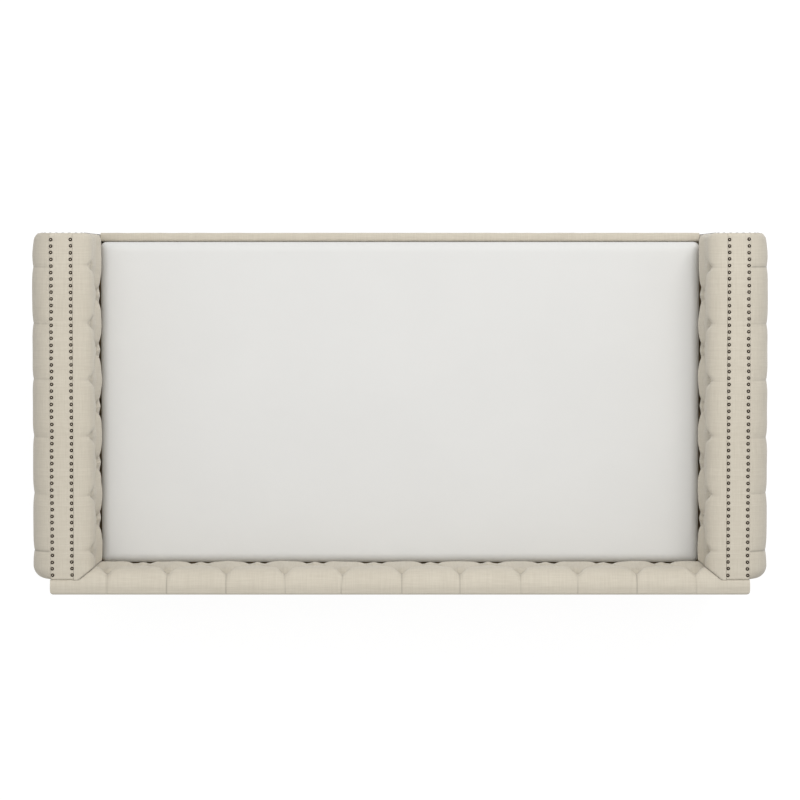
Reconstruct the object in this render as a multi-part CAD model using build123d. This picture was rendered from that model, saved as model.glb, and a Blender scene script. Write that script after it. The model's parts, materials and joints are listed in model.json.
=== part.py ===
from build123d import *
import math
import os

os.makedirs("parts", exist_ok=True)

# Sizes are in millimetres. Seen from the front, +X is to the right; the front is at -Y and +Z is up.
# The origin lies on the floor under the middle of the daybed.

# Mattress
mattress_length = 1864.0
mattress_width = 1003.0
mattress_height = 200.0
mattress_corner_radius = 42.0
mattress_edge_radius = 40.0
mattress_cover_thickness = 3.0
mattress_play = 36.0
mattress_front_gap = 2.0
mattress_rear_gap = 4.0

# Heights above the floor
body_bottom_height = 70.0
deck_height = 300.0
crown_height = 775.0
rail_below_deck = 130.0
rail_above_deck = 70.0

# Small gaps between pieces
soft_gap = 0.3
bolt_gap = 0.3

# Boards and frame of each arm
arm_pad_depth = 35.0
inner_panel_thickness = 6.0
arm_frame_thickness = 69.5
arm_cover_thickness = 2.5
arm_post_depth = 30.0
arm_top_rail_height = 30.0
arm_bottom_rail_height = 40.0
crown_band_thickness = 6.0
panel_top_drop = 12.0

# Outer roll of each arm
roll_radius = 78.0
roll_overhang = 59.0
roll_pleat_depth = 4.0
roll_end_radius = 40.0
roll_front_run = 18.0
roll_rail_height = 80.0
roll_rail_depth = 32.0

# Inner shoulder of each arm
shoulder_radius = 67.0
shoulder_drop = 2.0
shoulder_pleat_depth = 17.0
shoulder_foot_drop = 16.0

# Front facing of each arm
facing_thickness = 12.0
facing_margin = 10.0
facing_overlap = 4.0
rail_proud = 8.0

# Front rail
rail_board_thickness = 20.0
rail_cover_front = 6.0
rail_cover_back = 2.0
rail_cover_top = 4.0
rail_cover_bottom = 2.0
rail_lip_rise = 5.0

# Back
back_pad_depth = 21.0
back_panel_thickness = 6.0
back_frame_thickness = 36.0
back_cover_thickness = 3.0
back_lip_thickness = 18.0
back_shoulder_radius = 50.0
back_pleat_depth = 33.0
back_rail_height = 36.0
back_bottom_rail_height = 60.0
back_stile_width = 45.0
back_stile_spacing = 700.0
back_edge_radius = 6.0

# Button tufting
arm_button_count = 6
back_button_pitch = 179.0
back_button_end_gap = 50.0
first_row_drop = 57.0
row_spacing = 101.5
valley_depth_arm = 43.0
valley_depth_back = 13.0
valley_slope_share = 0.067
back_valley_slope_share = 0.02
arm_puff_rise = 32.0
back_puff_rise = 32.0
arm_shoulder_rise = 22.0
back_shoulder_rise = 33.0
arm_low_rise = 5.0
back_low_rise = 5.0
pleat_width = 4.0
pleat_half_span = 12.0
pleat_span_share = 0.3
puff_embed = 3.0
button_room = 16.0
puff_shares = ((0.0, 1.0), (0.55, 0.84), (0.88, 0.56), (1.0, 0.3))
button_radius = 9.0
button_rim = 3.0
button_dome = 4.0
button_recess_gap = 0.6

# Nailhead trim
nail_radius = 5.5
nail_height = 3.0
nail_pitch = 20.0
nail_edge = 5.0
nail_end_margin = 20.0
facing_nail_edge = 9.0

# Seat deck
slat_count = 14
slat_width = 70.0
slat_thickness = 18.0
slat_end_gap = 2.0
slat_side_margin = 50.0
cleat_thickness = 25.0
cleat_height = 30.0
seat_rail_thickness = 30.0
seat_rail_height = 120.0
beam_width = 40.0
beam_height = 50.0
centre_leg_side = 45.0
centre_leg_spacing = 900.0

# Corner blocks, legs and hardware
block_depth = 60.0
block_gap = 2.0
block_bottom_height = 110.0
leg_side = 60.0
leg_setback = 35.0
glide_radius = 18.0
glide_height = 4.0
bracket_width = 80.0
bracket_return = 46.0
bracket_height = 60.0
bracket_thickness = 3.0
bracket_drop = 10.0
screw_radius = 3.0
screw_head_radius = 6.0
screw_head_height = 3.0
screw_length = 16.0
screw_edge = 15.0
bolt_radius = 4.0
bolt_head_radius = 8.0
bolt_head_height = 6.0
bolt_nut_height = 7.0
bolt_nut_across = 13.0
bolt_tail = 3.0
bolt_end_margin = 130.0
bolts_per_side = 3
leg_bolt_length = 70.0
leg_bolt_in_frame = 30.0

# Planes across the width, measured from the middle
seat_half = (mattress_length + mattress_play) / 2
panel_face = seat_half + arm_pad_depth
frame_inner = panel_face + inner_panel_thickness
frame_outer = frame_inner + arm_frame_thickness
cover_face = frame_outer + arm_cover_thickness
roll_outer = cover_face + roll_overhang
facing_inner = seat_half - facing_overlap

# Planes along the depth, with the middle of the whole depth at zero
rail_thickness = rail_cover_back + rail_board_thickness + rail_cover_front
back_depth = back_panel_thickness + back_frame_thickness + back_cover_thickness
overall_depth = (
    rail_thickness + mattress_front_gap + mattress_width + mattress_rear_gap + back_pad_depth + back_depth
)
rail_front = -overall_depth / 2
rail_board_front = rail_front + rail_cover_front
rail_board_back = rail_board_front + rail_board_thickness
rail_back = rail_board_back + rail_cover_back
facing_front = rail_front + rail_proud
arm_front = facing_front + facing_thickness
back_rear = overall_depth / 2
back_frame_rear = back_rear - back_cover_thickness
back_frame_front = back_frame_rear - back_frame_thickness
back_panel_front = back_frame_front - back_panel_thickness
arm_rear = back_panel_front - soft_gap
arm_length = arm_rear - arm_front

# Heights that follow
first_row = crown_height - first_row_drop
second_row = first_row - row_spacing
third_row = second_row - row_spacing
pad_bottom = deck_height + soft_gap
frame_top = crown_height - crown_band_thickness
back_frame_top = crown_height - back_lip_thickness
panel_top = frame_top - panel_top_drop
roll_centre_across = roll_outer - roll_radius
roll_centre_height = crown_height - roll_radius
roll_seat = frame_outer + soft_gap
arm_pitch = arm_length / arm_button_count
arm_valley_at_first_row = panel_face - valley_depth_arm
back_valley_at_first_row = back_panel_front - valley_depth_back
back_face_half = arm_valley_at_first_row + valley_depth_back
back_button_count = 1 + int(2 * (back_face_half - back_button_end_gap) // back_button_pitch)
slat_bottom = deck_height - slat_thickness
rail_bottom_height = deck_height - rail_below_deck
rail_top_height = deck_height + rail_above_deck
block_top = slat_bottom - cleat_height - block_gap
bracket_top = block_top - bracket_drop
bracket_bottom = bracket_top - bracket_height


def box_between(low, high):
    """Box between its lowest and highest corners."""
    size = [far - near for near, far in zip(low, high)]
    middle = [(far + near) / 2 for near, far in zip(low, high)]
    return Pos(*middle) * Box(*size)


def group(shapes):
    """One compound that keeps every solid separate."""
    return Compound([solid for shape in shapes for solid in shape.solids()])


def save(name, shape):
    """Write one sub-part to its own file."""
    export_step(shape, f"parts/{name}.step")


def save_pair(name, right_shape):
    """Write a right-hand sub-part and its mirrored left-hand twin."""
    save(f"right_{name}", right_shape)
    save(f"left_{name}", mirror(right_shape, about=Plane.YZ))


def on_both_sides(shapes):
    """The shapes with their mirror images across the middle of the daybed."""
    return shapes + [mirror(shape, about=Plane.YZ) for shape in shapes]


def arm_valley(height):
    """Distance from the middle to the buttoned-down face of an arm."""
    return arm_valley_at_first_row + valley_slope_share * (first_row - height)


def back_valley(height):
    """Depth of the buttoned-down face of the back."""
    return back_valley_at_first_row + back_valley_slope_share * (first_row - height)


def arm_point(along, height, rise):
    """Point that stands a given rise off the buttoned-down face of an arm."""
    return Vector(arm_valley(height) - rise, along, height)


def back_point(along, height, rise):
    """Point that stands a given rise off the buttoned-down face of the back."""
    return Vector(along, back_valley(height) - rise, height)


def inset_outline(corners, gap):
    """Convex outline, listed anticlockwise, with every side moved in by the gap."""
    count = len(corners)
    moved = []
    for place, (along, height) in enumerate(corners):
        point = Vector(along, height)
        arriving = (point - Vector(*corners[place - 1])).normalized()
        leaving = (Vector(*corners[(place + 1) % count]) - point).normalized()
        inward = Vector(-arriving.Y, arriving.X) + Vector(-leaving.Y, leaving.X)
        square = inward.length ** 2 / 2
        shifted = point + inward * (gap / square)
        moved.append((shifted.X, shifted.Y))
    return moved


def cut_outline_corners(corners, room):
    """Outline with each corner cut off, which leaves room for the button there."""
    count = len(corners)
    cut = []
    for place, (along, height) in enumerate(corners):
        point = Vector(along, height)
        for neighbour in (corners[place - 1], corners[(place + 1) % count]):
            toward = (Vector(*neighbour) - point).normalized()
            spot = point + toward * room
            cut.append((spot.X, spot.Y))
    return cut


def puff(corners, rise, surface_point):
    """One sewn-in puff: a crowned, faceted mound on its outline between the pleats."""
    outline = cut_outline_corners(inset_outline(corners, pleat_width / 2), button_room)
    middle = (
        sum(corner[0] for corner in outline) / len(outline),
        sum(corner[1] for corner in outline) / len(outline),
    )
    levels = [(-puff_embed, 1)] + [(rise * rise_share, width) for rise_share, width in puff_shares]
    wires = []
    for level, width in levels:
        ring = [
            surface_point(
                middle[0] + (corner[0] - middle[0]) * width,
                middle[1] + (corner[1] - middle[1]) * width,
                level,
            )
            for corner in outline
        ]
        wires.append(Wire.make_polygon(ring, close=True))
    return Solid.make_loft(wires, ruled=True)


def tuft_puffs(pleats, pitch, rises, surface_point):
    """All puffs of a diamond-tufted face with three staggered rows of buttons."""
    full_rise, upper_rise, lower_rise = rises
    start = pleats[0] - pitch / 2
    end = pleats[-1] + pitch / 2
    foot = pad_bottom + pleat_width
    puffs = []
    for along in pleats:
        diamond = [
            (along, third_row),
            (along + pitch / 2, second_row),
            (along, first_row),
            (along - pitch / 2, second_row),
        ]
        puffs.append(puff(diamond, full_rise, surface_point))
    for left, right in zip(pleats[:-1], pleats[1:]):
        middle = (left + right) / 2
        upper = [(middle, second_row), (right, first_row), (left, first_row)]
        lower = [(left, foot), (right, foot), (right, third_row), (middle, second_row), (left, third_row)]
        puffs.append(puff(upper, upper_rise, surface_point))
        puffs.append(puff(lower, lower_rise, surface_point))
    first, last = pleats[0], pleats[-1]
    upper_ends = (
        [(start, second_row), (first, first_row), (start, first_row)],
        [(end, second_row), (end, first_row), (last, first_row)],
    )
    lower_ends = (
        [(start, foot), (first, foot), (first, third_row), (start, second_row)],
        [(last, foot), (end, foot), (end, second_row), (last, third_row)],
    )
    puffs += [puff(corners, upper_rise, surface_point) for corners in upper_ends]
    puffs += [puff(corners, lower_rise, surface_point) for corners in lower_ends]
    return puffs


def pleat_stations(pleats, start, end):
    """Places along a channelled loft, each with how deep the pleat is there."""
    stations = [(start, pleat_span_share)]
    for along in pleats:
        stations += [
            (along - pleat_half_span, pleat_span_share / 2),
            (along, 1),
            (along + pleat_half_span, pleat_span_share / 2),
        ]
    stations.append((end, pleat_span_share))
    return stations


def loop_wire(points, arc_middle, arc_place, station):
    """Closed wire through the points, with one side bent into an arc through its middle."""
    placed = [station(*point) for point in points]
    count = len(placed)
    edges = []
    for place in range(count):
        start = placed[place]
        end = placed[(place + 1) % count]
        if place == arc_place:
            edges.append(Edge.make_three_point_arc(start, station(*arc_middle), end))
        else:
            edges.append(Edge.make_line(start, end))
    return Wire(edges)


def arm_pleats():
    """Places of the upper buttons along an arm."""
    return [arm_front + arm_pitch * (place + 1 / 2) for place in range(arm_button_count)]


def back_pleats():
    """Places of the upper buttons along the back."""
    middle = (back_button_count - 1) / 2
    return [back_button_pitch * (place - middle) for place in range(back_button_count)]


def arm_pad_section(along, depth):
    """Section across an arm's inner pad, drawn in where a pleat is deep."""
    edge = frame_inner - soft_gap
    top = crown_height - shoulder_drop
    centre_height = top - shoulder_radius
    radius = shoulder_radius - shoulder_pleat_depth * depth
    lean = radius * math.sqrt(1 / 2)
    foot = centre_height - shoulder_foot_drop
    points = [
        (edge, top - shoulder_drop * depth),
        (edge - radius, centre_height),
        (arm_valley(foot), foot),
        (arm_valley(pad_bottom), pad_bottom),
        (panel_face - soft_gap, pad_bottom),
        (panel_face - soft_gap, panel_top + soft_gap),
        (edge, panel_top + soft_gap),
    ]
    bend = (edge - lean, centre_height + lean)
    return loop_wire(points, bend, 0, lambda across, height: Vector(across, along, height))


def mitre_cutter(front_side):
    """Block on one side of the upright mitre plane where an arm's pad meets the back's pad."""
    reach = back_pad_depth + arm_pad_depth + shoulder_radius
    corner = Vector(arm_valley_at_first_row, back_valley_at_first_row)
    along = Vector(1, 1)
    side = Vector(1, -1) if front_side else Vector(-1, 1)
    near = corner + side * (soft_gap / 2)
    plan = [
        near - along * reach,
        near + along * reach,
        near + along * reach + side * (2 * reach),
        near - along * reach + side * (2 * reach),
    ]
    face = make_face(Polyline(*[(point.X, point.Y) for point in plan], close=True))
    return extrude(Pos(0, 0, body_bottom_height) * face, crown_height)


def arm_tufted_pad():
    """Diamond-tufted inner face and shoulder of the right arm."""
    start = arm_front + soft_gap
    wires = [arm_pad_section(along, depth) for along, depth in pleat_stations(arm_pleats(), start, arm_rear)]
    pad = Solid.make_loft(wires, ruled=True)
    rises = (arm_puff_rise, arm_shoulder_rise, arm_low_rise)
    puffs = tuft_puffs(arm_pleats(), arm_pitch, rises, arm_point)
    pad = Part(pad.wrapped).fuse(*puffs)
    recesses = [button_recess(spot, arm_inward()) for spot in arm_button_spots()]
    pad = pad.cut(*recesses)
    ends = box_between(
        (facing_inner - roll_radius, arm_front - arm_length, body_bottom_height),
        (frame_inner, start, crown_height),
    )
    return pad.cut(mitre_cutter(False), ends)


def arm_inward():
    """Direction that the right arm's buttoned-down face looks in."""
    return Vector(-1, 0, -valley_slope_share)


def back_inward():
    """Direction that the back's buttoned-down face looks in."""
    return Vector(0, -1, -back_valley_slope_share)


def button_recess(point, direction):
    """Round pocket that draws the cover in over a button."""
    plane = Plane(origin=point, z_dir=direction)
    radius = button_radius + button_recess_gap
    depth = shoulder_radius
    return plane * Cylinder(radius, depth, align=(Align.CENTER, Align.CENTER, Align.MIN))


def domed_disc(radius, rim, dome):
    """Round disc standing on zero: an upright rim under a shallow spherical dome."""
    sphere_radius = (radius ** 2 + dome ** 2) / (2 * dome)
    half_angle = math.asin(radius / sphere_radius) / 2
    middle = (
        sphere_radius * math.sin(half_angle),
        rim + dome - sphere_radius * (1 - math.cos(half_angle)),
    )
    sides = [Line((0, 0), (radius, 0))]
    if rim > 0:
        sides.append(Line((radius, 0), (radius, rim)))
    sides.append(ThreePointArc((radius, rim), middle, (0, rim + dome)))
    sides.append(Line((0, rim + dome), (0, 0)))
    return revolve(Plane.XZ * make_face(sides), Axis.Z)


def tuft_button(point, direction):
    """Covered button seated on the buttoned-down face."""
    button = domed_disc(button_radius, button_rim, button_dome)
    return Plane(origin=point + direction.normalized() * soft_gap, z_dir=direction) * button


def arm_button_spots():
    """Places of the right arm's buttons, in three staggered rows."""
    rows = (
        (first_row, arm_pleats()),
        (second_row, [along + arm_pitch / 2 for along in arm_pleats()[:-1]]),
        (third_row, arm_pleats()),
    )
    return [arm_point(along, row, 0) for row, places in rows for along in places]


def back_button_spots():
    """Places of the back's buttons, in three staggered rows."""
    rows = (
        (first_row, back_pleats()),
        (second_row, [along + back_button_pitch / 2 for along in back_pleats()[:-1]]),
        (third_row, back_pleats()),
    )
    return [back_point(along, row, 0) for row, places in rows for along in places]


def tuft_buttons():
    """Every button of the two arms and the back."""
    arm = [tuft_button(spot, arm_inward()) for spot in arm_button_spots()]
    back = [tuft_button(spot, back_inward()) for spot in back_button_spots()]
    return group(on_both_sides(arm) + back)


def roll_section(along, inset):
    """D-shaped section across the outer roll, drawn in by the inset."""
    radius = roll_radius - inset
    reach = math.sqrt(radius ** 2 - (roll_seat - roll_centre_across) ** 2)
    points = [(roll_seat, roll_centre_height + reach), (roll_seat, roll_centre_height - reach)]
    outermost = (roll_centre_across + radius, roll_centre_height)
    return loop_wire(points, outermost, 0, lambda across, height: Vector(across, along, height))


def arm_outer_roll():
    """Padded outer roll of the right arm, pleated in line with the buttons."""
    front = arm_front + soft_gap
    front_shares = ((0, 1), (0.15, 0.47), (0.4, 0.2), (1, 0))
    stations = [(front + roll_front_run * back, facing_margin * inset) for back, inset in front_shares]
    for along in arm_pleats():
        stations += [(along - arm_pitch / 4, 0), (along, roll_pleat_depth)]
    end_shares = ((1, 0), (0.62, 0.08), (0.29, 0.3), (0.08, 0.6), (0, 0.9))
    stations += [(arm_rear - roll_end_radius * back, roll_end_radius * inset) for back, inset in end_shares]
    wires = [roll_section(along, inset) for along, inset in stations]
    roll = Solid.make_loft(wires, ruled=True)
    half = roll_rail_height / 2 + soft_gap
    pocket = box_between(
        (frame_outer, arm_front, roll_centre_height - half),
        (frame_outer + roll_rail_depth + soft_gap, arm_rear, roll_centre_height + half),
    )
    return Part(roll.wrapped).cut(pocket)


def arm_roll_rail():
    """Timber inside the outer roll, fixed to the posts."""
    rear = arm_rear - roll_end_radius
    return box_between(
        (frame_outer, arm_front, roll_centre_height - roll_rail_height / 2),
        (frame_outer + roll_rail_depth, rear, roll_centre_height + roll_rail_height / 2),
    )


def arm_crown_band():
    """Flat strip along the top of the arm between the two nail rows."""
    band = box_between(
        (frame_inner, arm_front, frame_top),
        (frame_outer, arm_rear, crown_height),
    )
    long_edges = band.edges().filter_by(Axis.Y).group_by(Axis.Z)[-1]
    return fillet(long_edges, crown_band_thickness / 3)


def arm_front_post():
    """Upright at the front end of the arm frame."""
    return box_between(
        (frame_inner, arm_front, body_bottom_height),
        (frame_outer, arm_front + arm_post_depth, frame_top),
    )


def arm_rear_post():
    """Upright at the rear end of the arm frame, bored for the bolts to the back."""
    post = box_between(
        (frame_inner, arm_rear - arm_post_depth, body_bottom_height),
        (frame_outer, arm_rear, frame_top),
    )
    return post.cut(*arm_bolt_holes())


def arm_top_rail():
    """Rail between the two posts, under the crown band."""
    return box_between(
        (frame_inner, arm_front + arm_post_depth, frame_top - arm_top_rail_height),
        (frame_outer, arm_rear - arm_post_depth, frame_top),
    )


def arm_bottom_rail():
    """Rail between the two posts at the bottom, bored for the leg bolts."""
    rail = box_between(
        (frame_inner, arm_front + arm_post_depth, body_bottom_height),
        (frame_outer, arm_rear - arm_post_depth, body_bottom_height + arm_bottom_rail_height),
    )
    return rail.cut(*[leg_bolt_hole(along) for along in leg_places()])


def arm_inner_panel():
    """Thin board that carries the arm's tufted pad."""
    return box_between(
        (panel_face, arm_front, body_bottom_height),
        (frame_inner, arm_rear, panel_top),
    )


def arm_outer_cover():
    """Flat upholstered outside of the arm, under the roll."""
    reach = math.sqrt(roll_radius ** 2 - (roll_seat - roll_centre_across) ** 2)
    return box_between(
        (frame_outer, arm_front, body_bottom_height),
        (cover_face, arm_rear, roll_centre_height - reach - soft_gap),
    )


def facing_edges(inset):
    """Scroll outline of the front facing, moved in by the inset."""
    inner = facing_inner + inset
    outer = cover_face - inset
    bottom = body_bottom_height + inset
    inner_radius = frame_inner - facing_inner - inset
    top = crown_height - facing_margin - inset
    inner_centre = top - inner_radius
    outer_radius = roll_radius - facing_margin - inset
    under = math.sqrt(outer_radius ** 2 - (outer - roll_centre_across) ** 2)
    lean = inner_radius * math.sqrt(1 / 2)

    def at(across, height):
        return Vector(across, facing_front, height)

    return [
        Edge.make_line(at(inner, bottom), at(inner, inner_centre)),
        Edge.make_three_point_arc(
            at(inner, inner_centre),
            at(frame_inner - lean, inner_centre + lean),
            at(frame_inner, top),
        ),
        Edge.make_line(at(frame_inner, top), at(roll_centre_across, top)),
        Edge.make_three_point_arc(
            at(roll_centre_across, top),
            at(roll_centre_across + outer_radius, roll_centre_height),
            at(outer, roll_centre_height - under),
        ),
        Edge.make_line(at(outer, roll_centre_height - under), at(outer, bottom)),
    ]


def arm_front_facing():
    """Scroll-shaped upholstered panel over the front end of the arm."""
    sides = facing_edges(0)
    foot = Edge.make_line(sides[-1] @ 1, sides[0] @ 0)
    face = Face(Wire(sides + [foot]))
    return extrude(face, facing_thickness, dir=(0, 1, 0))


def nailhead():
    """Domed nail head with a flat underside."""
    return domed_disc(nail_radius, 0, nail_height)


def crown_nailheads():
    """Two rows of nail heads along the crown of each arm."""
    run = arm_length - 2 * nail_end_margin
    count = int(run // nail_pitch)
    spacing = run / count
    head = nailhead()
    heads = []
    for across in (frame_inner + nail_edge, frame_outer - nail_edge):
        for place in range(count + 1):
            along = arm_front + nail_end_margin + spacing * place
            heads.append(Pos(across, along, crown_height) * head)
    return group(on_both_sides(heads))


def facing_nailheads():
    """Nail heads along the edge of each front facing."""
    path = Wire(facing_edges(facing_nail_edge))
    count = int(path.length // nail_pitch)
    head = nailhead()
    heads = []
    for place in range(count + 1):
        point = path @ (place / count)
        heads.append(Plane(origin=point, z_dir=(0, -1, 0)) * head)
    return group(on_both_sides(heads))


def leg_places():
    """Places of the front and rear legs along an arm."""
    return (arm_front + leg_setback + leg_side / 2, arm_rear - leg_setback - leg_side / 2)


def leg_bolt_hole(along):
    """Upright hole that a leg bolt goes up through."""
    across = (frame_inner + frame_outer) / 2
    bottom = body_bottom_height + leg_bolt_in_frame - leg_bolt_length - bolt_gap
    length = leg_bolt_length + 2 * bolt_gap
    hole = Cylinder(bolt_radius + bolt_gap, length, align=(Align.CENTER, Align.CENTER, Align.MIN))
    return Pos(across, along, bottom) * hole


def leg(along):
    """Square corner leg, bored for its bolt."""
    across = (frame_inner + frame_outer) / 2
    half = leg_side / 2
    block = box_between(
        (across - half, along - half, glide_height),
        (across + half, along + half, body_bottom_height),
    )
    return block.cut(leg_bolt_hole(along))


def leg_bolts():
    """One upright bolt in each corner leg."""
    across = (frame_inner + frame_outer) / 2
    bottom = body_bottom_height + leg_bolt_in_frame - leg_bolt_length
    bolt = Cylinder(bolt_radius, leg_bolt_length, align=(Align.CENTER, Align.CENTER, Align.MIN))
    return group(on_both_sides([Pos(across, along, bottom) * bolt for along in leg_places()]))


def glides():
    """Round glide under every leg."""
    across = (frame_inner + frame_outer) / 2
    disc = Cylinder(glide_radius, glide_height, align=(Align.CENTER, Align.CENTER, Align.MIN))
    corner_discs = [Pos(across, along, 0) * disc for along in leg_places()]
    centre_disc = Pos(centre_leg_spacing / 2, beam_middle(), 0) * disc
    return group(on_both_sides(corner_discs + [centre_disc]))


def arm_bolt_spots():
    """Places of the bolts that join the right arm to the back."""
    across = frame_outer - back_stile_width / 2
    lowest = body_bottom_height + bolt_end_margin
    spacing = (back_frame_top - bolt_end_margin - lowest) / (bolts_per_side - 1)
    return [(across, lowest + spacing * place) for place in range(bolts_per_side)]


def arm_bolt_holes():
    """Holes for the arm bolts, with a sunk seat for each head."""
    holes = []
    for across, height in arm_bolt_spots():
        shank = Cylinder(bolt_radius + bolt_gap, arm_post_depth + back_depth + back_pad_depth,
                         align=(Align.CENTER, Align.CENTER, Align.MIN))
        seat = Cylinder(bolt_head_radius + bolt_gap, bolt_head_height + bolt_gap,
                        align=(Align.CENTER, Align.CENTER, Align.MIN))
        plane = Plane(origin=(across, back_frame_rear, height), z_dir=(0, -1, 0))
        holes += [plane * shank, plane * seat]
    return holes


def arm_bolts():
    """Bolts from the back's posts into the arms' rear posts."""
    length = back_frame_thickness + back_panel_thickness + soft_gap + arm_post_depth
    shank_length = length + bolt_nut_height + bolt_tail - bolt_gap
    bolts = []
    for across, height in arm_bolt_spots():
        plane = Plane(origin=(across, back_frame_rear - bolt_gap, height), z_dir=(0, -1, 0))
        shank = Cylinder(bolt_radius, shank_length, align=(Align.CENTER, Align.CENTER, Align.MIN))
        head = Cylinder(bolt_head_radius, bolt_head_height, align=(Align.CENTER, Align.CENTER, Align.MIN))
        bolts.append(plane * (shank + head))
    return group(on_both_sides(bolts))


def arm_bolt_nuts():
    """Hexagon nuts on the arm bolts, against the arms' rear posts."""
    nuts = []
    for across, height in arm_bolt_spots():
        plane = Plane(origin=(across, arm_rear - arm_post_depth, height), z_dir=(0, -1, 0))
        outline = RegularPolygon(bolt_nut_across / 2, 6, major_radius=False)
        blank = extrude(outline, bolt_nut_height)
        bore = Cylinder(bolt_radius, bolt_nut_height, align=(Align.CENTER, Align.CENTER, Align.MIN))
        nuts.append(plane * (blank - bore))
    return group(on_both_sides(nuts))


def back_section(along, depth):
    """Section across the back's pad, from the rear edge over the top and down the face."""
    top = crown_height - shoulder_drop * depth
    centre_height = crown_height - back_shoulder_radius
    radius = back_shoulder_radius - back_pleat_depth * depth
    lean = radius * math.sqrt(1 / 2)
    foot = centre_height - shoulder_foot_drop
    front = back_panel_front - soft_gap
    points = [
        (back_panel_front, top),
        (back_panel_front - radius, centre_height),
        (back_valley(foot), foot),
        (back_valley(pad_bottom), pad_bottom),
        (front, pad_bottom),
        (front, back_frame_top + soft_gap),
        (back_rear, back_frame_top + soft_gap),
        (back_rear, top),
    ]
    bend = (back_panel_front - lean, centre_height + lean)
    return loop_wire(points, bend, 0, lambda deep, height: Vector(along, deep, height))


def back_tufted_pad():
    """Diamond-tufted face of the back, which wraps over the top to the rear edge."""
    stations = pleat_stations(back_pleats(), -back_face_half, back_face_half)
    pad = Solid.make_loft([back_section(along, depth) for along, depth in stations], ruled=True)
    rises = (back_puff_rise, back_shoulder_rise, back_low_rise)
    puffs = tuft_puffs(back_pleats(), back_button_pitch, rises, back_point)
    ends = [
        box_between(
            (back_face_half, back_panel_front, back_frame_top + soft_gap),
            (cover_face, back_rear, crown_height - shoulder_drop * pleat_span_share),
        )
    ]
    pad = Part(pad.wrapped).fuse(*puffs)
    recesses = [button_recess(spot, back_inward()) for spot in back_button_spots()]
    outside = [
        mitre_cutter(True),
        box_between(
            (back_face_half, back_valley_at_first_row - roll_radius, body_bottom_height),
            (cover_face, back_panel_front, crown_height),
        ),
    ]
    pad = pad.cut(*recesses, *on_both_sides(outside))
    return pad.fuse(*on_both_sides(ends))


def back_post():
    """Upright at the right end of the back frame, bored for the arm bolts."""
    post = box_between(
        (frame_outer - back_stile_width, back_frame_front, body_bottom_height),
        (frame_outer, back_frame_rear, back_frame_top),
    )
    return post.cut(*arm_bolt_holes())


def back_cross_rail(bottom, height):
    """Rail between the two end posts of the back."""
    half = frame_outer - back_stile_width
    return box_between(
        (-half, back_frame_front, bottom),
        (half, back_frame_rear, bottom + height),
    )


def back_stiles():
    """Two uprights that stiffen the back between its end posts."""
    middle = back_stile_spacing / 2
    half = back_stile_width / 2
    stile = box_between(
        (middle - half, back_frame_front, body_bottom_height + back_bottom_rail_height),
        (middle + half, back_frame_rear, back_frame_top - back_rail_height),
    )
    return group(on_both_sides([stile]))


def back_inner_panel():
    """Thin board that carries the back's tufted pad, bored for the arm bolts."""
    panel = box_between(
        (-frame_outer, back_panel_front, body_bottom_height),
        (frame_outer, back_frame_front, back_frame_top),
    )
    return panel.cut(*on_both_sides(arm_bolt_holes()))


def back_rear_cover():
    """Upholstered rear face of the back, wrapped round its two ends."""
    outer = box_between(
        (-cover_face, back_panel_front, body_bottom_height),
        (cover_face, back_rear, back_frame_top),
    )
    core = box_between(
        (-frame_outer, back_panel_front, body_bottom_height),
        (frame_outer, back_frame_rear, back_frame_top),
    )
    cover = outer - core
    corners = cover.edges().filter_by(Axis.Z).group_by(Axis.Y)[-1]
    return fillet(corners, back_cover_thickness)


def back_seat_rail():
    """Timber across the front of the back panel that carries the rear ends of the slats."""
    return box_between(
        (-panel_face, back_panel_front - seat_rail_thickness, deck_height - seat_rail_height),
        (panel_face, back_panel_front, deck_height),
    )


def front_rail_board():
    """Front rail timber, bored for the bracket screws."""
    board = box_between(
        (-facing_inner + soft_gap, rail_board_front, rail_bottom_height + rail_cover_bottom),
        (facing_inner - soft_gap, rail_board_back, rail_top_height - rail_cover_top),
    )
    return board.cut(*on_both_sides(bracket_screw_holes()))


def front_rail_cover():
    """Upholstery wrapped over the front rail and tacked down its back."""
    half = facing_inner - soft_gap
    outer = box_between((-half, rail_front, rail_bottom_height), (half, rail_back, rail_top_height))
    top_edges = outer.edges().filter_by(Axis.X).group_by(Axis.Z)[-1].sort_by(Axis.Y)
    outer = fillet(top_edges[0], rail_cover_front)
    board = box_between(
        (-half, rail_board_front, rail_bottom_height + rail_cover_bottom),
        (half, rail_board_back, rail_top_height - rail_cover_top),
    )
    opening = box_between(
        (-half, rail_board_back, rail_bottom_height),
        (half, rail_back, deck_height + rail_lip_rise),
    )
    return outer - board - opening


def front_cleat():
    """Batten on the back of the front rail that the slats lie on."""
    half = facing_inner - soft_gap
    return box_between(
        (-half, rail_board_back, slat_bottom - cleat_height),
        (half, rail_board_back + cleat_thickness, slat_bottom),
    )


def back_cleat():
    """Batten on the back's seat rail that the slats lie on."""
    half = facing_inner - soft_gap
    rear = back_panel_front - seat_rail_thickness
    return box_between(
        (-half, rear - cleat_thickness, slat_bottom - cleat_height),
        (half, rear, slat_bottom),
    )


def slats():
    """Row of slats from the front rail to the back."""
    front = rail_board_back + slat_end_gap
    rear = back_panel_front - seat_rail_thickness - slat_end_gap
    first = -(seat_half - slat_side_margin)
    spacing = -2 * first / (slat_count - 1)
    pieces = []
    for place in range(slat_count):
        middle = first + spacing * place
        pieces.append(box_between(
            (middle - slat_width / 2, front, slat_bottom),
            (middle + slat_width / 2, rear, deck_height),
        ))
    return group(pieces)


def deck_side_board():
    """Board that closes the deck between the last slat and the right arm, under its pad."""
    inner = seat_half - slat_side_margin + slat_width / 2 + soft_gap
    return box_between(
        (inner, rail_board_back + slat_end_gap, slat_bottom),
        (panel_face, back_panel_front - seat_rail_thickness - slat_end_gap, deck_height),
    )


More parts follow.
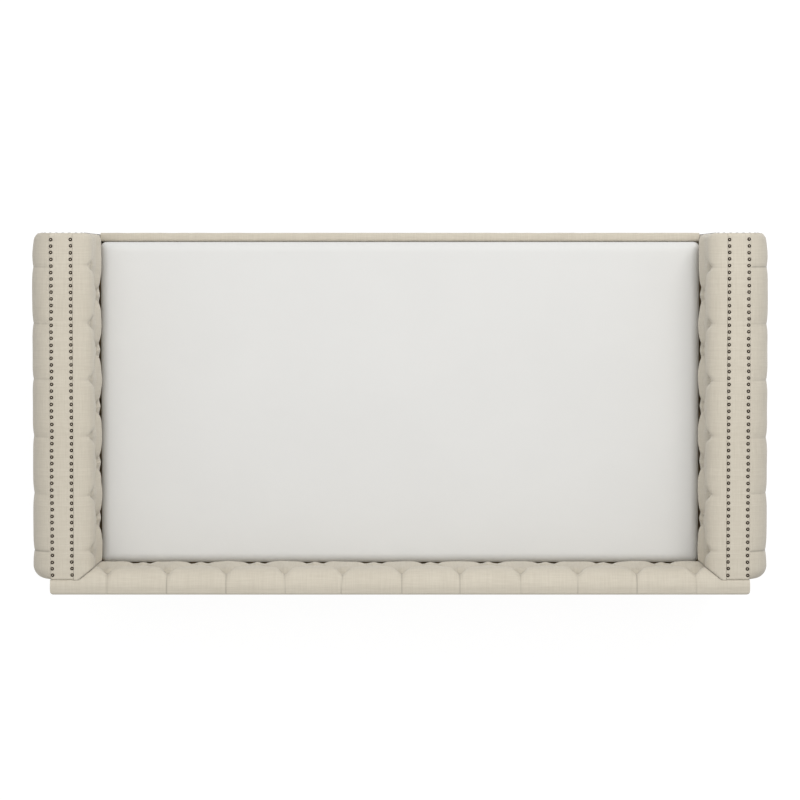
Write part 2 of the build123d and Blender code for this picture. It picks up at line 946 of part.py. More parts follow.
def beam_middle():
    """Depth of the middle line of the centre beam."""
    return (rail_board_back + back_panel_front - seat_rail_thickness) / 2


def centre_beam():
    """Beam under the middle of the slats, from arm to arm."""
    half = panel_face - soft_gap
    return box_between(
        (-half, beam_middle() - beam_width / 2, slat_bottom - beam_height),
        (half, beam_middle() + beam_width / 2, slat_bottom),
    )


def centre_leg():
    """Square leg under the centre beam."""
    middle = centre_leg_spacing / 2
    half = centre_leg_side / 2
    return box_between(
        (middle - half, beam_middle() - half, glide_height),
        (middle + half, beam_middle() + half, slat_bottom - beam_height),
    )


def front_corner_block():
    """Block behind the facing that the front rail is bracketed to, bored for its screws."""
    block = box_between(
        (facing_inner, arm_front, block_bottom_height),
        (panel_face, arm_front + block_depth, block_top),
    )
    return block.cut(*bracket_screw_holes())


def bracket_screw_spots():
    """Planes that the bracket's screws are driven from, each looking into the timber."""
    heights = (bracket_bottom + screw_edge, bracket_top - screw_edge)
    rail_across = facing_inner - bracket_width + screw_edge
    block_along = rail_board_back + bracket_return - screw_edge
    planes = []
    for height in heights:
        rail_spot = (rail_across, rail_board_back + bracket_thickness, height)
        block_spot = (facing_inner - bracket_thickness, block_along, height)
        planes += [Plane(origin=rail_spot, z_dir=(0, -1, 0)), Plane(origin=block_spot, z_dir=(1, 0, 0))]
    return planes


def bracket_screw_holes():
    """Holes for the shanks of the bracket screws."""
    length = screw_length + bracket_thickness + bolt_gap
    hole = Cylinder(screw_radius + bolt_gap, length, align=(Align.CENTER, Align.CENTER, Align.MIN))
    return [plane * hole for plane in bracket_screw_spots()]


def rail_brackets():
    """Steel angle at each end of the front rail."""
    on_rail = box_between(
        (facing_inner - bracket_width, rail_board_back, bracket_bottom),
        (facing_inner, rail_board_back + bracket_thickness, bracket_top),
    )
    on_block = box_between(
        (facing_inner - bracket_thickness, rail_board_back, bracket_bottom),
        (facing_inner, rail_board_back + bracket_return, bracket_top),
    )
    angle = (on_rail + on_block).cut(*bracket_screw_holes())
    return group(on_both_sides([angle]))


def bracket_screws():
    """Screws that hold the brackets to the rail and the corner blocks."""
    shank = Cylinder(screw_radius, screw_length + bracket_thickness,
                     align=(Align.CENTER, Align.CENTER, Align.MIN))
    head = Cylinder(screw_head_radius, screw_head_height, align=(Align.CENTER, Align.CENTER, Align.MAX))
    screw = shank + head
    return group(on_both_sides([plane * screw for plane in bracket_screw_spots()]))


def rounded_block(shrink):
    """Mattress block with rounded corners and edges, smaller by the shrink on every side."""
    front = rail_back + mattress_front_gap
    middle_along = front + mattress_width / 2
    middle_height = deck_height + mattress_height / 2
    block = Box(
        mattress_length - 2 * shrink,
        mattress_width - 2 * shrink,
        mattress_height - 2 * shrink,
    )
    block = fillet(block.edges().filter_by(Axis.Z), mattress_corner_radius - shrink)
    rims = block.edges().group_by(Axis.Z)
    block = fillet(rims[0] + rims[-1], mattress_edge_radius - shrink)
    return Pos(0, middle_along, middle_height) * block


def mattress_cover():
    """Knitted cover that closes round the mattress core."""
    return rounded_block(0) - rounded_block(mattress_cover_thickness)


def mattress_core():
    """Foam block inside the mattress cover."""
    return rounded_block(mattress_cover_thickness + soft_gap)


arm_parts = {
    "arm_front_post": arm_front_post,
    "arm_rear_post": arm_rear_post,
    "arm_top_rail": arm_top_rail,
    "arm_bottom_rail": arm_bottom_rail,
    "arm_roll_rail": arm_roll_rail,
    "arm_inner_panel": arm_inner_panel,
    "arm_tufted_pad": arm_tufted_pad,
    "arm_crown_band": arm_crown_band,
    "arm_outer_roll": arm_outer_roll,
    "arm_outer_cover": arm_outer_cover,
    "arm_front_facing": arm_front_facing,
    "back_post": back_post,
    "front_corner_block": front_corner_block,
    "centre_leg": centre_leg,
    "deck_side_board": deck_side_board,
}
for part_name, make_part in arm_parts.items():
    save_pair(part_name, make_part())

save_pair("front_leg", leg(leg_places()[0]))
save_pair("rear_leg", leg(leg_places()[1]))

single_parts = {
    "crown_nailheads": crown_nailheads,
    "facing_nailheads": facing_nailheads,
    "tuft_buttons": tuft_buttons,
    "back_tufted_pad": back_tufted_pad,
    "back_stiles": back_stiles,
    "back_inner_panel": back_inner_panel,
    "back_rear_cover": back_rear_cover,
    "back_seat_rail": back_seat_rail,
    "front_rail_board": front_rail_board,
    "front_rail_cover": front_rail_cover,
    "front_cleat": front_cleat,
    "back_cleat": back_cleat,
    "slats": slats,
    "centre_beam": centre_beam,
    "rail_brackets": rail_brackets,
    "bracket_screws": bracket_screws,
    "arm_bolts": arm_bolts,
    "arm_bolt_nuts": arm_bolt_nuts,
    "leg_bolts": leg_bolts,
    "glides": glides,
    "mattress_cover": mattress_cover,
    "mattress_core": mattress_core,
}
for part_name, make_part in single_parts.items():
    save(part_name, make_part())

save("back_top_rail", back_cross_rail(back_frame_top - back_rail_height, back_rail_height))
save("back_bottom_rail", back_cross_rail(body_bottom_height, back_bottom_rail_height))
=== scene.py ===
import json
import math

import bpy
import numpy as np
from mathutils import Matrix, Vector


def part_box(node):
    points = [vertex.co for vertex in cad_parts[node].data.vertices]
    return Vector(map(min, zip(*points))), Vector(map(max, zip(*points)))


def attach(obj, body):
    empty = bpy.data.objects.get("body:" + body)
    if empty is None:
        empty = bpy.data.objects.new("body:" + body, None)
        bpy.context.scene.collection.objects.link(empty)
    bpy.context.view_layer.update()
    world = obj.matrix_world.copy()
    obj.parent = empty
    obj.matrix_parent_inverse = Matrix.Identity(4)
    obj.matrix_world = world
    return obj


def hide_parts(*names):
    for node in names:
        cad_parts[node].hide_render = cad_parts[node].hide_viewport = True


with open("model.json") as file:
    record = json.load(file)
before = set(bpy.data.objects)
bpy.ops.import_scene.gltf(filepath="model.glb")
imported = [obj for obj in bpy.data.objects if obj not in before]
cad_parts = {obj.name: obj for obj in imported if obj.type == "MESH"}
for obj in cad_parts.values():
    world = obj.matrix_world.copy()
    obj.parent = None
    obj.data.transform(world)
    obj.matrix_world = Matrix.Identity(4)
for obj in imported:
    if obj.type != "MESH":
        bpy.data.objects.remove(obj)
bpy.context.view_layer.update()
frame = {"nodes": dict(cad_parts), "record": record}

MM = 0.001
GAP = 0.3 * MM
GRID = 3.6 * MM
QUARTER = math.pi / 2

# Places in metres, read from the CAD pieces that the upholstery covers.
BAND_LOW, BAND_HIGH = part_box("right_arm_crown_band")
FACING_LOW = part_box("right_arm_front_facing")[0]
COVER_LOW, COVER_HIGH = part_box("right_arm_outer_cover")
PANEL_LOW, PANEL_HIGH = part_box("right_arm_inner_panel")
BACK_PANEL_LOW, BACK_PANEL_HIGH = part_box("back_inner_panel")
REAR_LOW, REAR_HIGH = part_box("back_rear_cover")
RAIL_LOW, RAIL_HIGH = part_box("front_rail_cover")
BOARD_LOW, BOARD_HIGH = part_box("front_rail_board")
MATTRESS_LOW, MATTRESS_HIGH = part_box("mattress_cover")
PAD_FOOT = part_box("right_arm_tufted_pad")[0].z
CROWN = BAND_HIGH.z
ARM_FRONT = BAND_LOW.y
ARM_REAR = BAND_HIGH.y
ARM_LENGTH = ARM_REAR - ARM_FRONT
BACK_HALF = COVER_HIGH.x

# Front ends of the arms: the covers turn in round a facing that sits in a shallow recess.
COVER_FRONT = FACING_LOW.y - 2.4 * MM
FACING_RECESS = 3 * MM
FRONT_ROUND = 9 * MM
FRONT_FACE = COVER_FRONT + 0.8 * MM

# Tufting: staggered rows of buttons, with folds from button to button.
ARM_BUTTONS = 6
BACK_BUTTONS = 11
ARM_PITCH = ARM_LENGTH / ARM_BUTTONS
BACK_PITCH = 179 * MM
BACK_SHIFT = -6 * MM
FIRST_ROW = CROWN - 57 * MM
ROW_SPACING = 101.5 * MM
ROWS = (FIRST_ROW, FIRST_ROW - ROW_SPACING, FIRST_ROW - 2 * ROW_SPACING)
BUTTON_WANDER = 3 * MM
BUTTON_RADIUS = 8.5 * MM
BUTTON_TILT = 0.12
PUFF_REACH = 46 * MM
BUTTON_PULL = 32 * MM
DIMPLE_RADIUS = 11 * MM
POCKET_DEPTH = 38 * MM
SHOULDER_LEAN = 4 * MM
# Width of the painted shade along each fold.
FOLD_SHADE_WIDTH = 2.2 * MM
FOLD_FLOOR = 0.2 * MM
FOLD_SHARPNESS = 4.0
FRONT_FOLD_REACH = 4 * MM
FRONT_FOLD_FALL = 14 * MM

# Base lines of the tufted faces, and the mitre where the arms' faces meet the back's.
ARM_VALLEY = PANEL_LOW.x - 38 * MM
ARM_VALLEY_SLOPE = 0.067
ARM_SHOULDER = (BAND_LOW.x - GAP - ARM_VALLEY, 56 * MM)
BACK_VALLEY = BACK_PANEL_LOW.y - 7 * MM
BACK_VALLEY_SLOPE = 0.02
BACK_ROLL = 27 * MM
BACK_SHOULDER = (8 * MM + BACK_ROLL, 50 * MM)
BACK_CORNER = 10 * MM
MITRE_SLOPE = 0.79
MITRE_LEAD = 16 * MM

# Greatest rise of each stuffed cover, at a few heights.
ARM_RISES = (
    (CROWN, 1.5 * MM), (CROWN - 8 * MM, 7 * MM), (CROWN - 30 * MM, 13 * MM), (FIRST_ROW, 15 * MM),
    (ROWS[1] + 60 * MM, 15 * MM), (ROWS[1] + 34 * MM, 19 * MM), (ROWS[1], 35 * MM),
    (ROWS[2] + 25 * MM, 26 * MM), (ROWS[2], 11 * MM), (PAD_FOOT, 4 * MM),
)
BACK_RISES = (
    (CROWN, 4 * MM), (CROWN - 5 * MM, 8 * MM), (CROWN - 30 * MM, 21 * MM), (FIRST_ROW, 26 * MM),
    (ROWS[1] + 55 * MM, 26 * MM), (ROWS[1] + 30 * MM, 29 * MM), (ROWS[1], 37 * MM),
    (ROWS[2] + 25 * MM, 27 * MM), (ROWS[2], 8 * MM), (PAD_FOOT, 4 * MM),
)
BACK_TOP_RISE = 1.5 * MM

# Outer rolls of the arms.
ROLL_RADIUS = 78 * MM
ROLL_CENTRE = (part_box("right_arm_outer_roll")[1].x - ROLL_RADIUS, CROWN - ROLL_RADIUS)
ROLL_FOLD = 4.5 * MM
ROLL_END_RADIUS = 40 * MM
ROLL_FRONT_CORNER = 26 * MM
ROLL_GATHER = 7 * MM
ROLL_GATHER_REACH = 48 * MM
ROLL_END_DRAW = 21 * MM

# Front facings: the inset of each ring of points, and its depth from the face.
FACING_MARGIN = 11 * MM
FACING_SIDE_GAP = 1 * MM
FACING_LEVELS = (
    (0.0, 1.5 * MM), (0.3 * MM, 0.9 * MM), (1.0 * MM, 0.4 * MM), (2.4 * MM, 0.1 * MM), (9.0 * MM, 0.0),
    (16.0 * MM, -0.1 * MM), (24.0 * MM, -0.3 * MM), (34.0 * MM, -0.5 * MM),
)

# Nail heads.
NAIL_RADIUS = 5.5 * MM
NAIL_HEIGHT = 3 * MM
NAIL_PITCH = 19.6 * MM
NAIL_EDGE = 5 * MM
NAIL_FRONT = 5 * MM
NAIL_REAR = 14 * MM
NAIL_PUCKER = 7 * MM
FACING_NAIL_INSET = 9 * MM
FACING_NAIL_HEIGHT = 2 * MM

# Studio: place, aim, width and watts of each lamp, and the lens and sensor of the camera in millimetres.
KEY_LIGHT = ((-1.35, -3.2, 5.7), (0, 0.2, 0.5), 3.0, 205)
FILL_LIGHT = ((1.3, -0.6, 6.4), (0, 0.1, 0.5), 3.0, 75)
WORLD_LIGHT = 0.53
FLOOR_HALF = 14.0
FLOOR_GLOW = 1.12
FLOOR_GLOW_SHARE = 0.8
SENSOR_WIDTH = 36.0
LENS = 134.3
CAMERA_DEPTH = -0.4325
CAMERA_HEIGHT = 9.03
AIM_DEPTH = -0.0405


def share_of(value, whole):
    """Part of the whole that a length has reached, from 0 to 1."""
    return np.clip(value / whole, 0, 1)


def falloff(distance, width, power=2):
    """From 1 at no distance down toward 0 past the width."""
    return np.exp(-((distance / width) ** power))


def rounding(inside, radius):
    """How far a rounded edge lies below a square one, at each distance in from the edge."""
    return radius * (1 - np.sqrt(1 - (1 - share_of(inside, radius)) ** 2))


def running_lengths(points):
    """Length along a line of points, up to each of them."""
    return np.concatenate([[0], np.cumsum(np.hypot(*np.diff(points, axis=0).T))])


def smoothed(values, passes):
    """Values averaged with their neighbours a number of times, apart from the two ends."""
    for _ in range(passes):
        values[1:-1] = (values[:-2] + values[1:-1] + values[2:]) / 3
    return values


def noise_field(seed, count, low, high):
    """Smooth field of two lengths: a sum of a few waves with seeded directions and phases."""
    rng = np.random.default_rng(seed)
    angle = rng.uniform(0, 2 * math.pi, count)
    wave = 2 * math.pi / rng.uniform(low, high, count)
    phase = rng.uniform(0, 2 * math.pi, count)
    size = rng.uniform(0.5, 1.0, count)
    size /= size.sum()

    def field(a, b):
        total = np.zeros(np.broadcast(a, b).shape)
        for i in range(count):
            run = a * math.cos(angle[i]) + b * math.sin(angle[i])
            total += size[i] * np.sin(wave[i] * run + phase[i])
        return total

    return field


def place_object(name, data):
    """New object in the scene for a mesh, a lamp or a camera."""
    made = bpy.data.objects.new(name, data)
    bpy.context.scene.collection.objects.link(made)
    return made


def finish_mesh(name, vertices, faces, uvs=None, crease=None, sharp=60):
    """Mesh object with smooth shading, sharp only past an angle, and its own coordinates for the weave."""
    mesh = bpy.data.meshes.new(name)
    mesh.from_pydata([tuple(v) for v in vertices], [], faces)
    mesh.validate()
    if uvs is not None:
        layer = mesh.uv_layers.new(name="cloth")
        corner_vertex = np.empty(len(mesh.loops), np.int32)
        mesh.loops.foreach_get("vertex_index", corner_vertex)
        layer.data.foreach_set("uv", np.asarray(uvs, np.float32)[corner_vertex].ravel())
    # The crease values go on the points for the materials to paint with: painted shade along the cloth's
    # folds, and a painted highlight on each nail's top.
    if crease is not None:
        attribute = mesh.attributes.new("painted_light", "FLOAT", "POINT")
        attribute.data.foreach_set("value", np.asarray(crease, np.float32).ravel())
    mesh.shade_smooth()
    mesh.set_sharp_from_angle(angle=math.radians(sharp))
    mesh.update()
    return place_object(name, mesh)


def swept_shell(name, rings, uvs, crease=None, flip=False, sharp=60):
    """Closed solid through rings of equal point counts, with a flat cap on each end."""
    stations, count, _ = rings.shape
    index = np.arange(stations * count).reshape(stations, count)
    near = index[:-1]
    far = index[1:]
    quads = np.stack([near, np.roll(near, -1, axis=1), np.roll(far, -1, axis=1), far], axis=-1)
    faces = quads.reshape(-1, 4).tolist() + [index[0][::-1].tolist(), index[-1].tolist()]
    if flip:
        faces = [face[::-1] for face in faces]
    return finish_mesh(name, rings.reshape(-1, 3), faces, uvs.reshape(-1, 2), crease, sharp)


def covered(name, a, b, painted_light, skin, hidden, hidden_down, sign=1, flip=False, sharp=60):
    """Closed cover: its skin, and the hidden points that close it from behind at each station."""
    rings = np.concatenate([skin, hidden], axis=1)
    rings[:, :, 0] *= sign
    hidden_uv = np.stack(np.broadcast_arrays(a[:, :1], np.array(hidden_down)[None, :]), axis=-1)
    uvs = np.concatenate([np.stack([a, b], axis=-1), hidden_uv], axis=1)
    if painted_light is not None:
        painted_light = np.concatenate([painted_light, np.zeros(hidden.shape[:2])], axis=1)
    return swept_shell(name, rings, uvs, painted_light, flip, sharp)


def points_behind(across, stations, height):
    """The hidden points that close a cover of an arm, at each of its stations."""
    return np.stack(np.broadcast_arrays(across, stations[:, None], height), axis=-1)


def grid_faces(shape):
    """Faces of a grid of points, and the ring of points round its border."""
    index = np.arange(shape[0] * shape[1]).reshape(shape)
    quads = np.stack([index[:-1, :-1], index[1:, :-1], index[1:, 1:], index[:-1, 1:]], axis=-1)
    border = np.concatenate([index[:, 0], index[-1, 1:], index[-2::-1, -1], index[0, -2:0:-1]])
    return quads.reshape(-1, 4), border


def segment_distance(a, b, start, end):
    """Distance from points (a, b) to a straight fold."""
    start = np.asarray(start)
    along = np.asarray(end) - start
    share = ((a - start[0]) * along[0] + (b - start[1]) * along[1]) / (along @ along)
    share = np.clip(share, 0, 1)
    return np.hypot(a - start[0] - share * along[0], b - start[1] - share * along[1])


def flap_side(a, b, start, end):
    """From 1 just above a slanting fold to -1 just below it, and 0 beyond its ends."""
    low, high = sorted((start[0], end[0]))
    level = start[1] + (end[1] - start[1]) * (a - start[0]) / (end[0] - start[0])
    inside = share_of(np.minimum(a - low, high - a), 16 * MM)
    return np.clip((level - b) / (14 * MM), -1, 1) * inside


def tuft_layout(places, pitch, row_lengths, bottom, seed, open_front=False):
    """Buttons and folds of a tufted face, in lengths along the piece and down its cover."""
    rng = np.random.default_rng(seed)

    def spot(along, down):
        aside = rng.uniform(-BUTTON_WANDER, BUTTON_WANDER)
        return along + aside, down + rng.uniform(-BUTTON_WANDER, BUTTON_WANDER) / 2

    upper = [spot(place, row_lengths[0]) for place in places]
    middle = [spot(place + pitch / 2, row_lengths[1]) for place in places[:-1]]
    lower = [spot(place, row_lengths[2]) for place in places]
    first = (places[0] - pitch / 2, row_lengths[1])
    last = (places[-1] + pitch / 2, row_lengths[1])
    row_two = [first] + middle + [last]
    past_front = places[0] - pitch / 2 - FRONT_FOLD_REACH
    diagonals = []
    for place, (top, foot) in enumerate(zip(upper, lower)):
        for neighbour in (row_two[place], row_two[place + 1]):
            if neighbour is first and open_front:
                diagonals.append((top, (past_front, row_lengths[0] + FRONT_FOLD_FALL)))
                diagonals.append((foot, (past_front, row_lengths[2] - FRONT_FOLD_FALL)))
            else:
                diagonals += [(top, neighbour), (foot, neighbour)]
    shoulders = [(top, (top[0] + rng.uniform(-SHOULDER_LEAN, SHOULDER_LEAN), 0.0)) for top in upper]
    falls = [(foot, (foot[0], bottom)) for foot in lower]
    return upper, middle, lower, diagonals, shoulders, falls


def tuft_height(a, b, layout, shoulder_fold, fold_shade):
    """How far the cover stands off its buttoned-down face, from 0 to 1, and how much painted shade each fold
    and each pocket under a top button gets.
    """
    upper, middle, lower, diagonals, shoulders, falls = layout
    summed = np.zeros(a.shape)
    shade = np.zeros(a.shape)
    for start, end in diagonals:
        distance = segment_distance(a, b, start, end)
        side = flap_side(a, b, start, end)
        summed += 1 / (distance * (1.1 + 0.55 * side) + FOLD_FLOOR) ** FOLD_SHARPNESS
        # Painted shade: a dark line along each fold, with a fainter, wider darkening round it.
        shade = np.maximum(shade, 0.9 * falloff(distance, FOLD_SHADE_WIDTH))
        shade = np.maximum(shade, 0.3 * falloff(distance, 5 * FOLD_SHADE_WIDTH))
    for start, end in falls:
        distance = segment_distance(a, b, start, end)
        summed += 1 / (distance + FOLD_FLOOR) ** FOLD_SHARPNESS
        shade = np.maximum(shade, 0.6 * falloff(distance, FOLD_SHADE_WIDTH))
    to_button = np.full(a.shape, 9.0)
    for spot in upper + middle + lower:
        to_button = np.minimum(to_button, np.hypot(a - spot[0], b - spot[1]))
    soft = summed ** (-1 / FOLD_SHARPNESS)
    crown = np.sin(share_of(soft, 0.8 * PUFF_REACH) * QUARTER) ** 0.7
    fold_level = 0.66 * (1 - falloff(to_button, BUTTON_PULL, 1.6))
    height = fold_level + (1 - fold_level) * crown
    for start, end in shoulders:
        distance = segment_distance(a, b, start, end)
        from_button = np.hypot(a - start[0], b - start[1])
        near = falloff(from_button, BUTTON_PULL, 1.5)
        depth = shoulder_fold + (0.92 - shoulder_fold) * near
        height = height * (1 - depth * falloff(distance, (6 + 8 * near) * MM, 1.3))
        # Painted shade along each pleat from a top button, darkest near the button.
        dark = fold_shade + (1 - fold_shade) * falloff(from_button, 14 * MM, 1)
        shade = np.maximum(shade, dark * falloff(distance, 0.7 * FOLD_SHADE_WIDTH))
    dimple = 1 - 0.9 * falloff(to_button, DIMPLE_RADIUS)
    # Painted shade in the pocket under each top button, where the steep cover falls in shade.
    for spot in upper:
        below = b - spot[1]
        spread = np.abs(a - spot[0]) / (0.85 * below.clip(1 * MM) + 3 * MM)
        pocket = falloff(below.clip(0), POCKET_DEPTH, 1) * falloff(spread, 1, 4)
        shade = np.maximum(shade, 0.42 * share_of(below, 6 * MM) * pocket)
    return height * dimple, shade


def shoulder_profile(edge, shoulder, valley, slope, top, flat):
    """Base line of a tufted face: a flat top, a rounded shoulder and the buttoned-down face below it."""
    wide, tall = shoulder
    points = [(edge + flat, top)] if flat > 0 else []
    points.append((edge, top))
    for angle in np.linspace(0, QUARTER, 25)[1:]:
        points.append((edge - wide * math.sin(angle), top - tall * (1 - math.cos(angle))))
    points.append((valley + slope * (FIRST_ROW - PAD_FOOT), PAD_FOOT))
    points = np.array(points)
    lengths = running_lengths(points)
    at = np.linspace(0, lengths[-1], int(lengths[-1] / GRID))
    across = np.interp(at, lengths, points[:, 0])
    height = np.interp(at, lengths, points[:, 1])
    turned = smoothed(np.gradient(across, at), 6)
    fallen = smoothed(np.gradient(height, at), 6)
    size = np.hypot(turned, fallen)
    normal = np.stack([fallen / size, -turned / size], axis=1)
    return at, across, height, normal


def front_stations(count):
    """Stations along an arm from its facing's recess on, and how far the covers have turned in at each."""
    turn = np.linspace(0, QUARTER, 9)[:-1]
    along = np.concatenate([
        [COVER_FRONT + FACING_RECESS, FRONT_FACE], COVER_FRONT + FRONT_ROUND * (1 - np.cos(turn)),
        np.linspace(COVER_FRONT + FRONT_ROUND, ARM_REAR, count),
    ])
    drop = np.concatenate([
        [FRONT_ROUND + 0.8 * MM, FRONT_ROUND + 0.6 * MM], FRONT_ROUND * (1 - np.sin(turn)), np.zeros(count),
    ])
    return along, drop[:, None]


def mitre_across(along):
    """Place across the bed where the arm's pad meets the back's, at one depth."""
    return ARM_VALLEY + (along - BACK_VALLEY + MITRE_LEAD) / MITRE_SLOPE


def mitre_along(across):
    """Depth at which the back's pad meets the arm's, at one place across the bed."""
    return BACK_VALLEY - MITRE_LEAD + (across - ARM_VALLEY) * MITRE_SLOPE


def rises_at(height, table):
    """Greatest rise of the cover at each height, between the values of a short table."""
    heights, rises = zip(*sorted(table))
    return np.interp(height, heights, rises)


def cover_lift(a, b, seed, rises, level, ripple_rise):
    """How far the stuffed cover stands off its base line, with slow swells and small ripples."""
    rumple = noise_field(seed + 50, 9, 45 * MM, 150 * MM)(a, b)
    ripple = noise_field(seed + 70, 8, 14 * MM, 34 * MM)(a, b)
    return rises * level * (1 + 0.07 * rumple) + ripple * ripple_rise * np.minimum(1, rises / (12 * MM))


def button_places(layout, at, depth, height):
    """Place along the piece, depth and height of every button of a tufted face."""
    return [
        (along, float(np.interp(down, at, depth)), float(np.interp(down, at, height)))
        for along, down in layout[0] + layout[1] + layout[2]
    ]


def arm_tufted_pad(side, sign, seed):
    """Tufted inner face and shoulder of one arm, drawn in low down beside the end of the front rail."""
    edge = BAND_LOW.x - GAP
    at, across, height, normal = shoulder_profile(
        edge, ARM_SHOULDER, ARM_VALLEY, ARM_VALLEY_SLOPE, CROWN - 3.5 * MM, 0
    )
    rises = rises_at(height, ARM_RISES)
    row_lengths = [float(np.interp(-row, -height, at)) for row in ROWS]
    stations, drop = front_stations(int(ARM_LENGTH / GRID))
    places = [ARM_FRONT + ARM_PITCH * (i + 0.5) for i in range(ARM_BUTTONS)]
    layout = tuft_layout(places, ARM_PITCH, row_lengths, float(at[-1]), seed, open_front=True)
    a, b = np.meshgrid(stations, at, indexing="ij")
    level, painted_light = tuft_height(a, b, layout, 0.07, 0.12)
    end_round = 26 * MM
    level = level * (1 - 0.6 * rounding(a - COVER_FRONT, end_round) / end_round)
    lift = cover_lift(a, b, seed, rises, level, 0.35 * MM)
    inner_corner = rounding(a - COVER_FRONT, 15 * MM) * share_of(CROWN - 12 * MM - height, 40 * MM)
    deep = across + normal[:, 0] * (lift - np.maximum(drop, inner_corner))
    high = height + normal[:, 1] * (lift - drop)
    beside_rail = FACING_LOW.x + 0.5 * MM + np.clip(drop, 0, 2 * MM)
    beside_rail = beside_rail + 30 * MM * share_of(a - RAIL_HIGH.y - 2 * MM, 60 * MM) ** 2
    low_down = share_of(ROWS[2] - height, 50 * MM)
    deep = np.minimum(deep, beside_rail + (1 - low_down) * 60 * MM)
    mitre = np.minimum(mitre_across(a) + GAP, PANEL_LOW.x - 6 * MM)
    # Painted shade along the mitre where the arm's pad meets the back's.
    painted_light = np.maximum(painted_light, 0.8 * falloff(np.maximum(deep - mitre, 0), 4 * MM))
    skin = np.stack([np.maximum(deep, mitre), a, high], axis=-1)
    seat = PANEL_LOW.x - GAP
    lip = PANEL_HIGH.z + GAP
    hidden = points_behind([seat, seat, edge], stations, [PAD_FOOT, lip, lip])
    name = f"{side}_arm_pad_cover"
    piece = covered(name, a, b, painted_light, skin, hidden, [at[-1]] * 3, sign, flip=sign > 0, sharp=70)
    facing = Vector((-sign, 0, BUTTON_TILT))
    seats = button_places(layout, at, across, height)
    return piece, [(Vector((sign * deep, along, high)), facing) for along, deep, high in seats]


def round_rear_corners(points):
    """Points past the rounded rear corners of the back, brought in onto them."""
    side = BACK_HALF - BACK_CORNER
    rear = REAR_HIGH.y - BACK_CORNER
    over_x = np.abs(points[..., 0]) - side
    over_y = points[..., 1] - rear
    out = np.hypot(over_x, over_y)
    trim = (over_x > 0) & (over_y > 0) & (out > BACK_CORNER)
    shrink = np.where(trim, BACK_CORNER / np.maximum(out, 1e-9), 1)
    points[..., 0] = np.where(trim, np.sign(points[..., 0]) * (side + over_x * shrink), points[..., 0])
    points[..., 1] = np.where(trim, rear + over_y * shrink, points[..., 1])
    return points


def back_tufted_pad(seed):
    """Tufted face of the back, which wraps over the flat top to the rear edge."""
    panel = BACK_PANEL_LOW.y
    lip = BACK_PANEL_HIGH.z + GAP
    flat = REAR_HIGH.y - panel
    at, deep_line, height, normal = shoulder_profile(
        panel + BACK_ROLL, BACK_SHOULDER, BACK_VALLEY, BACK_VALLEY_SLOPE,
        CROWN - 1.5 * MM, flat - BACK_ROLL - 5 * MM,
    )
    rises = np.where(at < flat - BACK_ROLL, BACK_TOP_RISE, rises_at(height, BACK_RISES))
    rises = smoothed(rises, 24)
    row_lengths = [float(np.interp(-row, -height, at)) for row in ROWS]
    stations = np.linspace(-BACK_HALF, BACK_HALF, int(2 * BACK_HALF / GRID))
    places = [BACK_SHIFT + BACK_PITCH * (i - (BACK_BUTTONS - 1) / 2) for i in range(BACK_BUTTONS)]
    layout = tuft_layout(places, BACK_PITCH, row_lengths, float(at[-1]), seed)
    a, b = np.meshgrid(stations, at, indexing="ij")
    level, painted_light = tuft_height(a, b, layout, 0.3, 0.85)
    lift = cover_lift(a, b, seed, rises, level, 0.3 * MM)
    deep = deep_line + normal[:, 0] * lift
    high = height + normal[:, 1] * lift
    high = np.where(deep > panel - 2 * MM, np.maximum(high, lip + 0.5 * MM), high)
    mitre = mitre_along(np.abs(a)) + GAP
    beyond = mitre > panel
    deep = np.maximum(deep, np.minimum(mitre, panel + GAP))
    high = np.where(beyond, np.maximum(high, lip), high)
    painted_light = np.where(beyond & (b > flat * 0.9), 0, painted_light)
    skin = round_rear_corners(np.stack([a, deep, high], axis=-1))
    past = mitre_along(np.abs(stations)) + GAP > panel
    seat = np.where(past, panel + GAP, panel - GAP)
    hidden = np.zeros((len(stations), 5, 3))
    hidden[:, :, 0] = stations[:, None]
    hidden[:, 0, 1:] = np.stack([seat, np.where(past, lip, PAD_FOOT)], axis=1)
    hidden[:, 1, 1:] = np.stack([seat, np.full(len(stations), lip)], axis=1)
    hidden[:, 2, 1:] = (REAR_HIGH.y, lip)
    hidden[:, 3, 1:] = (REAR_HIGH.y, CROWN - 5 * MM)
    hidden[:, 4, 1:] = (REAR_HIGH.y - 1.6 * MM, CROWN - 1.9 * MM)
    hidden_down = (-0.5, -0.4, -0.02, -0.006, -0.003)
    piece = covered("back_pad_cover", a, b, painted_light, skin, round_rear_corners(hidden), hidden_down, sharp=70)
    facing = Vector((0, -1, BUTTON_TILT))
    seats = button_places(layout, at, deep_line, height)
    within = ARM_VALLEY - 30 * MM
    return piece, [(Vector(place), facing) for place in seats if abs(place[0]) <= within]


